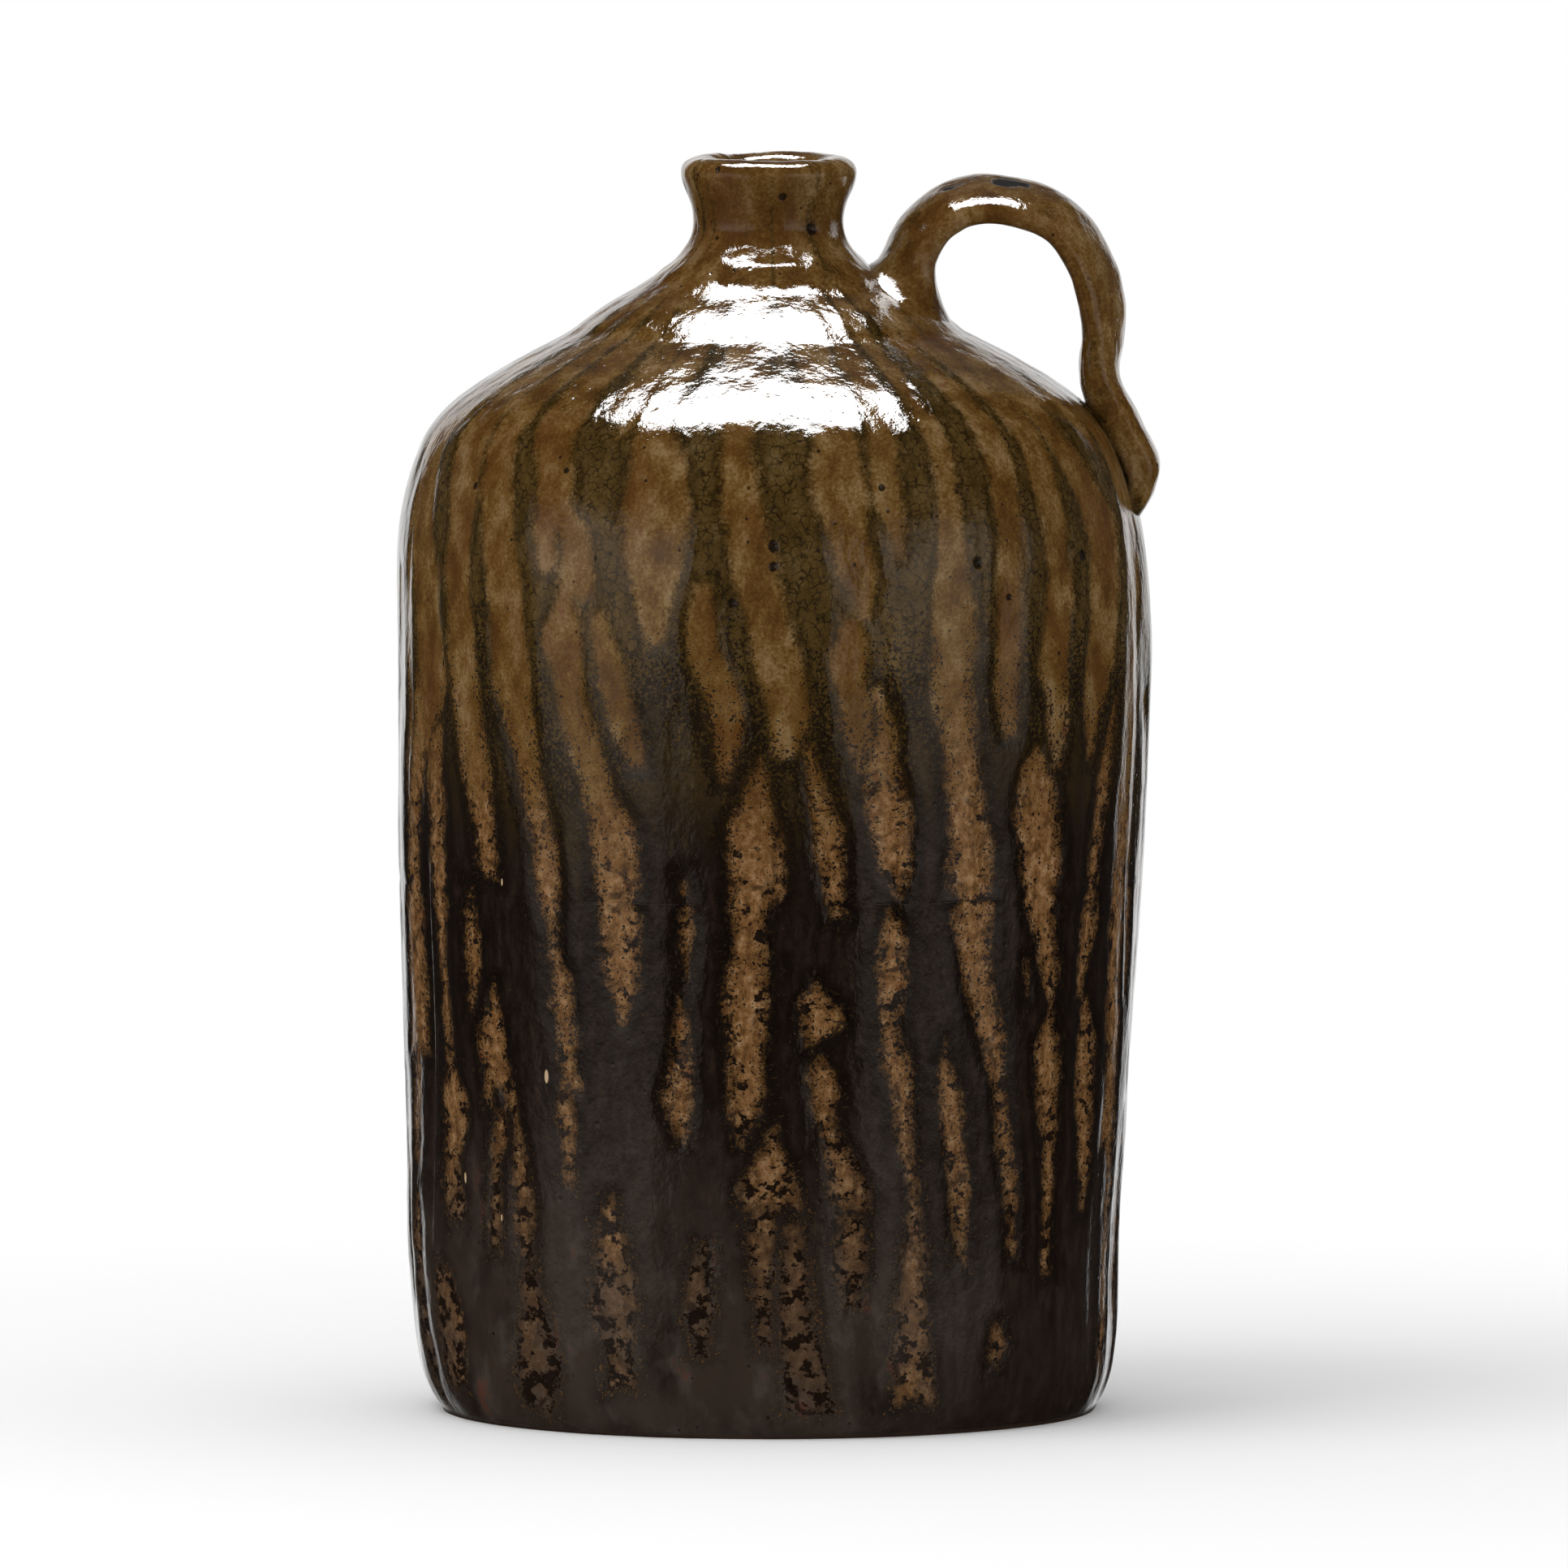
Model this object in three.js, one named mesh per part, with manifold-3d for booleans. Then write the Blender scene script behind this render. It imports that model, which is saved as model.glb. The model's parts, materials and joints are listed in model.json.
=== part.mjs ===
// A stoneware jug: three sections thrown on the wheel, stacked and luted with soft clay,
// and a pulled strap handle luted on at its root and along its tail.
// Millimetres, +Z up. The origin is the middle of the flat underside, and the handle is on the +X side.

import * as THREE from 'three';
import { mergeVertices } from 'three/addons/utils/BufferGeometryUtils.js';
import Module from 'manifold-3d';

// Driving dimensions of the thrown body
const FOOT_RADIUS = 88.6; // flat underside
const HEEL_HEIGHT = 17; // underside to the top of the rounded heel
const HEEL_SWELL = 6.2; // how far the heel spreads beyond the underside
const LOWER_HEIGHT = 144; // underside to body seam
const SEAM_SWELL = 5.5; // how far the wall spreads from the heel to the body seam
const UPPER_WALL = 68; // body seam to fullest girth
const BELLY_SWELL = 1.4; // how far the wall spreads from the body seam to its fullest girth
const TURN_RISE = 57.7; // fullest girth to the turn of the shoulder
const TURN_INSET = 12.3; // how far the turn lies inside the fullest girth
const SHOULDER_RISE = 22.3; // turn of the shoulder to cap seam
const SHOULDER_RUN = 35.7; // how far the shoulder draws in from its turn to the cap seam
const CAP_RISE = 31; // cap seam to neck waist
const NECK_RADIUS = 20.6; // neck at its waist
const NECK_RISE = 13.7; // neck waist to widest edge of the lip
const LIP_FLARE = 3.4; // how far the lip spreads beyond the waist
const LIP_RISE = 4.3; // widest edge of the lip to its top
const NECK_WALL = 7.6; // neck waist to bore
const WALL = 8; // body wall
const FLOOR = 10; // floor
const FLOOR_ROUND = 12; // round where the floor meets the wall inside

// Driving dimensions of the luted joints
const SLIP_GAP = 0.3; // between a luting and the piece that it holds
const LUTE = 1.4; // thickness of a luting
const JOINT_RIDGE = 2.5; // height of the ridge in the middle of a seam

// Driving dimensions of the handle
const ROOT_RADIUS = 38; // middle of the root on the cap, from the axis
const HANDLE_SPAN = 52.2; // root to outer leg
const HANDLE_RISE = 25.3; // root to crown
const STRAP_THICKNESS = 14.6; // at the root
const STRAP_THINNING = 2.2; // how much thinner the strap is at its tail
const STRAP_WIDTH = 26;
const ROOT_FLARE = 7.5; // how much the strap spreads where it meets the cap
const ROOT_FLARE_RISE = 12; // how far above the cap the flare fades away
const TAIL_LENGTH = 31; // stretch of the tail pressed along the shoulder
const TAIL_SINK = 1.8; // how deep the tail is pressed into the shoulder
const TAIL_TAPER = 14; // wedge at the end of the tail
const TAIL_TIP = 2; // thickness of the strap at the end of the wedge

// Slopes of the wall, in degrees from the horizontal, going up the outside
const HEEL_SLOPE = 48;
const WALL_SLOPE = 86.5;
const SEAM_SLOPE = 88.3;
const TURN_SLOPE = 134.2;
const SHOULDER_SLOPE = 154.8;
const CAP_SLOPE = 138.2;

const SEGMENTS = 48; // facets round the axis
const STRAP_SIDES = 16; // facets round the strap
const STRAP_STEPS = 36; // steps along the strap

const wasm = await Module();
wasm.setup();

const point = (r, z) => new THREE.Vector2(r, z);

function direction(degrees) {
  const angle = THREE.MathUtils.degToRad(degrees);
  return point(Math.cos(angle), Math.sin(angle));
}

// A smooth curve that leaves one point and reaches the next at given slopes.
// A pull is the length of a curve handle as a share of the distance between the points.
function bend(start, startSlope, startPull, end, endSlope, endPull) {
  const chord = start.distanceTo(end);
  const leave = direction(startSlope).multiplyScalar(chord * startPull).add(start);
  const arrive = direction(endSlope).multiplyScalar(-chord * endPull).add(end);
  return new THREE.CubicBezierCurve(start, leave, arrive, end);
}

// The same line moved into the clay, at right angles to itself; a negative depth moves it outwards
function inset(line, depth) {
  return line.map((here, i) => {
    const before = line[Math.max(i - 1, 0)];
    const after = line[Math.min(i + 1, line.length - 1)];
    const along = after.clone().sub(before).normalize();
    return point(here.x - along.y * depth, here.y + along.x * depth);
  });
}

// Key points of the outside, from the underside to the mouth
const foot = point(FOOT_RADIUS, 0);
const heel = point(foot.x + HEEL_SWELL, HEEL_HEIGHT);
const bodySeam = point(heel.x + SEAM_SWELL, LOWER_HEIGHT);
const belly = point(bodySeam.x + BELLY_SWELL, bodySeam.y + UPPER_WALL);
const turn = point(belly.x - TURN_INSET, belly.y + TURN_RISE);
const capSeam = point(turn.x - SHOULDER_RUN, turn.y + SHOULDER_RISE);
const waist = point(NECK_RADIUS, capSeam.y + CAP_RISE);
const lipEdge = point(waist.x + LIP_FLARE, waist.y + NECK_RISE);
const boreRadius = NECK_RADIUS - NECK_WALL;
const lipTop = point((lipEdge.x + boreRadius) / 2, lipEdge.y + LIP_RISE);
const mouthEdge = point(boreRadius, lipEdge.y);

// Pulls of the curves: a quarter round, an even sweep, and those that shape the shoulder, cap and neck
const ROUND_PULL = 0.39;
const EVEN_PULL = 0.33;
const SHOULDER_PULLS = [0.49, 0.134, 0.236, 0.45];
const CAP_PULLS = [0.454, 0.263];
const NECK_PULLS = [0.44, 0.304];

// The outside of each section, as a line of points going up
const lowerOutside = [
  ...bend(foot, HEEL_SLOPE, EVEN_PULL, heel, WALL_SLOPE, EVEN_PULL).getPoints(4),
  ...bend(heel, WALL_SLOPE, EVEN_PULL, bodySeam, SEAM_SLOPE, EVEN_PULL).getPoints(5).slice(1),
];
const upperOutside = [
  ...bend(bodySeam, SEAM_SLOPE, EVEN_PULL, belly, 90, EVEN_PULL).getPoints(3),
  ...bend(belly, 90, SHOULDER_PULLS[0], turn, TURN_SLOPE, SHOULDER_PULLS[1]).getPoints(8).slice(1),
  ...bend(turn, TURN_SLOPE, SHOULDER_PULLS[2], capSeam, SHOULDER_SLOPE, SHOULDER_PULLS[3])
    .getPoints(6)
    .slice(1),
];
const capOutside = [
  ...bend(capSeam, CAP_SLOPE, CAP_PULLS[0], waist, 90, CAP_PULLS[1]).getPoints(9),
  ...bend(waist, 90, NECK_PULLS[0], lipEdge, 90, NECK_PULLS[1]).getPoints(5).slice(1),
];
const lipRound = [
  ...bend(lipEdge, 90, ROUND_PULL, lipTop, 180, ROUND_PULL).getPoints(4).slice(1),
  ...bend(lipTop, 180, ROUND_PULL, mouthEdge, 270, ROUND_PULL).getPoints(4).slice(1),
];

// A seam crosses the wall from outside to inside over a ridge in the middle, lifted above or below its place
function seamLine(outside, slope, lift) {
  const up = direction(slope);
  const inward = direction(slope + 90);
  const outer = up.clone().multiplyScalar(lift).add(outside);
  const ridge = inward.clone().multiplyScalar(WALL / 2).addScaledVector(up, JOINT_RIDGE).add(outer);
  const inner = inward.clone().multiplyScalar(WALL).add(outer);
  return [outer, ridge, inner];
}

const LUTE_FACE = LUTE / 2; // from the middle of a seam to a face of its luting
const CLAY_FACE = LUTE_FACE + SLIP_GAP; // from the middle of a seam to the clay that it joins
const bodySeamAt = (lift) => seamLine(bodySeam, SEAM_SLOPE, lift);
const capSeamAt = (lift) => seamLine(capSeam, (SHOULDER_SLOPE + CAP_SLOPE) / 2, lift);

// A line without its ends, where seams take their place
const between = (line) => line.slice(1, -1);

// A solid turned round the axis from a line of (radius, height) points
function turned(line) {
  return new THREE.LatheGeometry(line, SEGMENTS).rotateX(Math.PI / 2);
}

function ring(line) {
  return turned([...line, line[0].clone()]);
}

function lowerSection() {
  const wallLine = lowerOutside.filter((p) => p.y > FLOOR + FLOOR_ROUND);
  const inside = inset(wallLine, WALL).slice(0, -1).reverse();
  const wallFoot = point(inside[inside.length - 1].x, FLOOR + FLOOR_ROUND);
  const floorEdge = point(wallFoot.x - FLOOR_ROUND, FLOOR);
  return turned([
    point(0, 0),
    ...lowerOutside.slice(0, -1),
    ...bodySeamAt(-CLAY_FACE),
    ...inside,
    ...bend(wallFoot, 270, ROUND_PULL, floorEdge, 180, ROUND_PULL).getPoints(4),
    point(0, FLOOR),
  ]);
}

function upperSection() {
  return ring([
    ...bodySeamAt(CLAY_FACE).reverse(),
    ...between(upperOutside),
    ...capSeamAt(-CLAY_FACE),
    ...between(inset(upperOutside, WALL)).reverse(),
  ]);
}

function neckCap() {
  const [outer, ridge, inner] = capSeamAt(CLAY_FACE);
  const boreFoot = point(boreRadius, waist.y);
  const throat = bend(boreFoot, 270, CAP_PULLS[1], inner, CAP_SLOPE + 180, CAP_PULLS[0]).getPoints(6);
  return ring([inner, ridge, outer, ...capOutside.slice(1), ...lipRound, ...throat.slice(0, -1)]);
}

// A luting fills a seam from one face to the other
function seamLute(seamAt) {
  return ring([...seamAt(-LUTE_FACE).reverse(), ...seamAt(LUTE_FACE)]);
}

// The whole thrown body as one plug that stands off its outside by a distance
const outside = [...lowerOutside, ...upperOutside.slice(1), ...capOutside.slice(1)];
function bodyGrownBy(distance) {
  const skin = inset(outside, -distance);
  const top = skin[skin.length - 1].y;
  return turned([point(0, 0), point(skin[0].x, 0), ...skin, point(0, top)]);
}

// Places on the outside of the shoulder and cap, found on a fine, evenly spaced copy of its line
const fineOutside = new THREE.SplineCurve(outside).getSpacedPoints(600);
const fineStep = fineOutside[1].distanceTo(fineOutside[0]);
const indexAtRadius = (radius) => fineOutside.findIndex((p) => p.y > belly.y && p.x <= radius);

// The point that lies a run down the outside from a place on it, and stands off the clay by a distance
function offShoulder(index, run, standoff) {
  const here = index - Math.round(run / fineStep);
  return inset(fineOutside.slice(here - 1, here + 2), -standoff)[1];
}

// The middle line of the strap: out of the cap, over the crown, down the outer leg and along the shoulder
function strapPath() {
  const seat = fineOutside[indexAtRadius(ROOT_RADIUS)];
  const loop = (across, up) => point(seat.x + HANDLE_SPAN * across, seat.y + HANDLE_RISE * up);
  const landing = indexAtRadius(seat.x + HANDLE_SPAN);
  const halfTail = (STRAP_THICKNESS - STRAP_THINNING) / 2;
  const points = [
    point(seat.x, seat.y - WALL),
    seat,
    loop(0.02, 0.46),
    loop(0.12, 0.76),
    loop(0.26, 0.94),
    loop(0.44, 1),
    loop(0.77, 0.79),
    loop(0.92, 0.4),
    loop(0.99, -0.07),
    loop(1, -0.49),
    offShoulder(landing, -1.5 * halfTail, 1.4 * halfTail),
    offShoulder(landing, -0.5 * halfTail, halfTail - TAIL_SINK / 2),
    offShoulder(landing, halfTail, halfTail - TAIL_SINK),
    offShoulder(landing, TAIL_LENGTH - TAIL_TAPER, halfTail - TAIL_SINK),
    offShoulder(landing, TAIL_LENGTH, 0),
  ];
  return new THREE.CatmullRomCurve3(points.map((p) => new THREE.Vector3(p.x, 0, p.y)), false, 'centripetal');
}

// A strap of oval section along its path, flared at the root and wedge-shaped at the end of the tail
function strap() {
  const { smoothstep, lerp, clamp } = THREE.MathUtils;
  const path = strapPath();
  const length = path.getLength();
  const sideways = new THREE.Vector3(0, 1, 0);
  const corners = [];
  for (let step = 0; step <= STRAP_STEPS; step += 1) {
    const share = step / STRAP_STEPS;
    const centre = path.getPointAt(share);
    const outward = path.getTangentAt(share).cross(sideways).normalize();
    const flare = ROOT_FLARE * (1 - smoothstep(share * length, WALL, WALL + ROOT_FLARE_RISE));
    const wedge = clamp(((1 - share) * length) / TAIL_TAPER, 0, 1);
    const thickness = lerp(TAIL_TIP, STRAP_THICKNESS - STRAP_THINNING * share, wedge) + flare;
    const width = STRAP_WIDTH + flare;
    for (let side = 0; side < STRAP_SIDES; side += 1) {
      const angle = (2 * Math.PI * side) / STRAP_SIDES;
      const corner = centre.clone();
      corner.addScaledVector(outward, (thickness / 2) * Math.cos(angle));
      corner.addScaledVector(sideways, (width / 2) * Math.sin(angle));
      corners.push(corner);
    }
  }
  const faces = [];
  for (let step = 0; step < STRAP_STEPS; step += 1) {
    for (let side = 0; side < STRAP_SIDES; side += 1) {
      const a = step * STRAP_SIDES + side;
      const b = step * STRAP_SIDES + ((side + 1) % STRAP_SIDES);
      faces.push(a, a + STRAP_SIDES, b, b, a + STRAP_SIDES, b + STRAP_SIDES);
    }
  }
  const last = STRAP_STEPS * STRAP_SIDES;
  for (let side = 1; side < STRAP_SIDES - 1; side += 1) {
    faces.push(0, side, side + 1, last, last + side + 1, last + side);
  }
  return new THREE.BufferGeometry().setFromPoints(corners).setIndex(faces);
}

function solid(geometry) {
  geometry.deleteAttribute('normal');
  geometry.deleteAttribute('uv');
  const merged = mergeVertices(geometry);
  const mesh = new wasm.Mesh({
    numProp: 3,
    vertProperties: new Float32Array(merged.attributes.position.array),
    triVerts: new Uint32Array(merged.index.array),
  });
  return new wasm.Manifold(mesh);
}

function geometryOf(manifold) {
  const { vertProperties, triVerts } = manifold.getMesh();
  const geometry = new THREE.BufferGeometry();
  geometry.setAttribute('position', new THREE.BufferAttribute(vertProperties, 3));
  geometry.setIndex(new THREE.BufferAttribute(triVerts, 1));
  geometry.computeVertexNormals();
  return geometry;
}

// The layer of the strap next to the body is its two lutings, and the handle is what lies beyond them
const wholeStrap = solid(strap());
const handle = wholeStrap.subtract(solid(bodyGrownBy(LUTE + 2 * SLIP_GAP)));
const [tailLute, rootLute] = wholeStrap
  .intersect(solid(bodyGrownBy(LUTE + SLIP_GAP)))
  .subtract(solid(bodyGrownBy(SLIP_GAP)))
  .decompose()
  .sort((a, b) => a.boundingBox().min[2] - b.boundingBox().min[2]);

const glaze = (color) => new THREE.MeshStandardMaterial({ color, roughness: 0.18, metalness: 0 });
const darkGlaze = glaze(0x35281c);
const oliveGlaze = glaze(0x5d4c2a);
const tanGlaze = glaze(0x6a5032);
const lutingClay = new THREE.MeshStandardMaterial({ color: 0x3d2e22, roughness: 0.7, metalness: 0 });

const jug = new THREE.Group();
function add(name, geometry, material) {
  const mesh = new THREE.Mesh(geometry, material);
  mesh.name = name;
  jug.add(mesh);
}

add('lower_section', lowerSection(), darkGlaze);
add('body_seam_lute', seamLute(bodySeamAt), lutingClay);
add('upper_section', upperSection(), oliveGlaze);
add('cap_seam_lute', seamLute(capSeamAt), lutingClay);
add('neck_cap', neckCap(), tanGlaze);
add('handle', geometryOf(handle), tanGlaze);
add('handle_root_lute', geometryOf(rootLute), lutingClay);
add('handle_tail_lute', geometryOf(tailLute), lutingClay);

export default jug;
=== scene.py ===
# %% [markdown]
# # A stoneware jug under a runny ash glaze
# A tall jug of about two gallons, thrown in three sections that were joined with soft clay, with a pulled
# strap for a handle. A wood-ash glaze ran down its wall in the kiln: olive and buff on the shoulder, near
# black below, with tan tongues left standing between the dark runs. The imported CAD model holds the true
# shape and size of the eight clay pieces. Here each piece is made again with a fine, uneven skin, and
# gets its finish.

import json
import math

import bmesh
import bpy
import numpy as np
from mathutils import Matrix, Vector, geometry, kdtree, noise


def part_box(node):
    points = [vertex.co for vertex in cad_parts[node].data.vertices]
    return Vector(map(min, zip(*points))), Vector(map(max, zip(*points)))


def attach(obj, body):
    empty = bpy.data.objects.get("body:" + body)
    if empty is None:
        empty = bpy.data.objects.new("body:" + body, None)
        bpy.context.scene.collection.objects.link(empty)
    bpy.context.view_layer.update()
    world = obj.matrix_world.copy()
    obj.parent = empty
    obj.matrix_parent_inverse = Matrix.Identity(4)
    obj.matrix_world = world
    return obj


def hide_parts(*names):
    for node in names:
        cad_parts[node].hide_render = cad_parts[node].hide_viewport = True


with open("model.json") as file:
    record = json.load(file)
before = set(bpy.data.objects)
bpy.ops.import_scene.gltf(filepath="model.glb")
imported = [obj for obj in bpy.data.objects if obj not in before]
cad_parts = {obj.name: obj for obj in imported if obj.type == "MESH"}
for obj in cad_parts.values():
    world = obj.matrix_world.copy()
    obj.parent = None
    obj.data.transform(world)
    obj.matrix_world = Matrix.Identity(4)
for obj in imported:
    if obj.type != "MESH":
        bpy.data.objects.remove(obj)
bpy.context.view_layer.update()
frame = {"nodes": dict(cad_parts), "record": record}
MM = 0.001
print("nodes:", ", ".join(sorted(frame["nodes"])))

# %% [markdown]
# ## The camera
# The photograph was taken from far away, with the camera a little above the jug's middle: the ellipse of
# the foot is open and that of the lip is almost shut. A long lens at eight metres gives the same view. It
# comes first, because the glaze runs are placed further down by where this view shows them.

# %% Place the camera
PHOTO_PIXELS = 1932
PIXEL = 0.2205 * MM  # what one pixel of the photograph covers at the jug
AXIS_COLUMN = 947  # pixel column of the jug's axis
BASE_ROW = 1735  # pixel row of the middle of its underside
CAMERA_RISE = math.radians(4.4)
CAMERA_DISTANCE = 8.0

camera_data = bpy.data.cameras.new("camera")
camera_data.sensor_width = 36
camera_data.lens = camera_data.sensor_width * CAMERA_DISTANCE / (PHOTO_PIXELS * PIXEL)
camera = bpy.data.objects.new("camera", camera_data)
middle = PHOTO_PIXELS / 2
aim = Vector((middle - AXIS_COLUMN, 0, (BASE_ROW - middle) / math.cos(CAMERA_RISE))) * PIXEL
camera.location = aim + Vector((0, -math.cos(CAMERA_RISE), math.sin(CAMERA_RISE))) * CAMERA_DISTANCE
camera.rotation_euler = (math.pi / 2 - CAMERA_RISE, 0, 0)
bpy.context.scene.collection.objects.link(camera)
bpy.context.scene.camera = camera
print("lens", round(camera_data.lens), "mm")

# %% [markdown]
# ## Outlines of the thrown pieces
# A thrown piece is a solid of revolution, so its whole form is in one outline. The CAD solid has that
# outline as short straight facets. A cut through the axis gives the facets' corners back, and a smooth
# curve through them gives an outline that is as fine as the glaze needs, with the sharp corners of the
# joints kept.

# %% Cut each CAD piece through the axis
SNAP = 1e-6
CORNER = math.radians(30)


def turn_at(points, i):
    """The angle by which an outline turns at one of its points."""
    before = points[i] - points[i - 1]
    after = points[(i + 1) % len(points)] - points[i]
    return before.angle(after)


def clay_outline(node):
    """The outline of a turned piece as (radius, 0, height) points, anticlockwise, starting at a corner."""
    bm = bmesh.new()
    bm.from_mesh(frame["nodes"][node].data)
    bmesh.ops.remove_doubles(bm, verts=bm.verts, dist=SNAP)
    everything = bm.verts[:] + bm.edges[:] + bm.faces[:]
    bmesh.ops.bisect_plane(
        bm, geom=everything, dist=SNAP, plane_no=(0, 1, 0), clear_inner=True, clear_outer=True
    )
    half = {v for v in bm.verts if v.co.x > -SNAP}
    on_axis = [v for v in half if v.co.x < SNAP]
    walk = [min(on_axis or half, key=lambda v: v.co.z)]
    ahead = walk
    while ahead:
        around = [edge.other_vert(walk[-1]) for edge in walk[-1].link_edges]
        ahead = [v for v in around if v in half and v not in walk]
        walk += ahead[:1]
    points = [Vector((v.co.x, 0, v.co.z)) for v in walk]
    bm.free()
    area = sum(a.x * b.z - b.x * a.z for a, b in zip(points, points[1:] + points[:1]))
    if area < 0:
        points = points[:1] + points[:0:-1]
    if not on_axis:
        corners = [i for i in range(len(points)) if turn_at(points, i) > CORNER]
        first = max(corners, key=lambda i: points[i].x)
        points = points[first:] + points[: first + 1]
    return points


def stretches(points):
    """The outline in parts, from corner to corner."""
    inner = range(1, len(points) - 1)
    breaks = [0] + [i for i in inner if turn_at(points, i) > CORNER] + [len(points) - 1]
    return [points[a : b + 1] for a, b in zip(breaks, breaks[1:])]


def smooth_line(points, spacing):
    """A curve through the points, with a new point about every spacing."""
    chords = [(b - a).normalized() for a, b in zip(points, points[1:])]
    bends = [(a + b).normalized() for a, b in zip(chords, chords[1:])]
    ends = bends or chords
    along = [2 * chords[0] - ends[0]] + bends + [2 * chords[-1] - ends[-1]]
    line = []
    for a, b, leave, arrive in zip(points, points[1:], along, along[1:]):
        third = (b - a).length / 3
        count = max(2, round((b - a).length / spacing) + 1)
        line += geometry.interpolate_bezier(a, a + leave * third, b - arrive * third, b, count)[:-1]
    return line + [points[-1]]


SKIN_OF = {"lower_section": 1, "upper_section": 0, "neck_cap": 0}  # which stretch is the outside
RING_LUTES = ("body_seam_lute", "cap_seam_lute")
outlines = {node: stretches(clay_outline(node)) for node in [*SKIN_OF, *RING_LUTES]}
for node, parts in outlines.items():
    print(node, "outline of", len(parts), "stretches,", sum(len(p) for p in parts), "points")

# %% [markdown]
# ## The outside as one line
# The glaze doesn't know about joints: it runs over lip, neck, shoulder and wall as one skin. So the
# outsides of the three sections are strung together, from the foot to the throat, and every point of that
# line knows how far up the skin it is and which way it faces. Whatever is done to the skin later is a
# function of the place round the jug and the place on this line, so it carries on across the joints.

# %% String the outsides together
SKIN_STEP = 1.9 * MM
FINE_STEP = 1.0 * MM
skin_points = []
for node, part in SKIN_OF.items():
    outside = smooth_line(outlines[node][part], FINE_STEP)
    joint = smooth_line([skin_points[-1], outside[0]], FINE_STEP / 2) if skin_points else []
    skin_points += joint[1:-1] + outside
skin = np.array([(p.x, p.z) for p in skin_points]) / MM
skin_reach = np.concatenate([[0], np.cumsum(np.linalg.norm(np.diff(skin, axis=0), axis=1))])
lean = np.gradient(skin, axis=0)
skin_out = np.stack([lean[:, 1], -lean[:, 0]], axis=1) / np.linalg.norm(lean, axis=1, keepdims=True)
skin_tree = kdtree.KDTree(len(skin))
for i, p in enumerate(skin_points):
    skin_tree.insert(p, i)
skin_tree.balance()
lip = int(np.argmax(skin[:, 1]))
below_lip = skin[lip, 1] - 0.01  # the top of the outside in mm
FAIRING = 5.0  # mm along the skin over which the CAD facets are evened out
apart = (skin_reach[:, None] - skin_reach) / FAIRING
evened = np.exp(-(apart**2) / 2)
evened = evened @ skin / evened.sum(axis=1, keepdims=True)
fairing = ((evened - skin) * skin_out).sum(axis=1)
print("skin of", len(skin), "points,", round(skin_reach[-1]), "mm from foot to throat")


def skin_below(places):
    """Nearest skin points to places in mm, how far up the skin and how far off it the places are."""
    flat = np.stack([np.hypot(places[:, 0], places[:, 1]), places[:, 2]], axis=1)
    index = np.array([skin_tree.find((r * MM, 0, z * MM))[1] for r, z in flat])
    away, out = flat - skin[index], skin_out[index]
    reach = skin_reach[index] + away[:, 1] * out[:, 0] - away[:, 0] * out[:, 1]
    return index, reach, (away * out).sum(axis=1)


def wall_radius(height):
    """The outer radius at a height below the lip, in mm."""
    return np.interp(height, skin[:lip, 1], skin[:lip, 0])


def reach_at(height):
    """How far up the skin a height below the lip is, in mm."""
    return np.interp(height, skin[:lip, 1], skin_reach[:lip])
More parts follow.
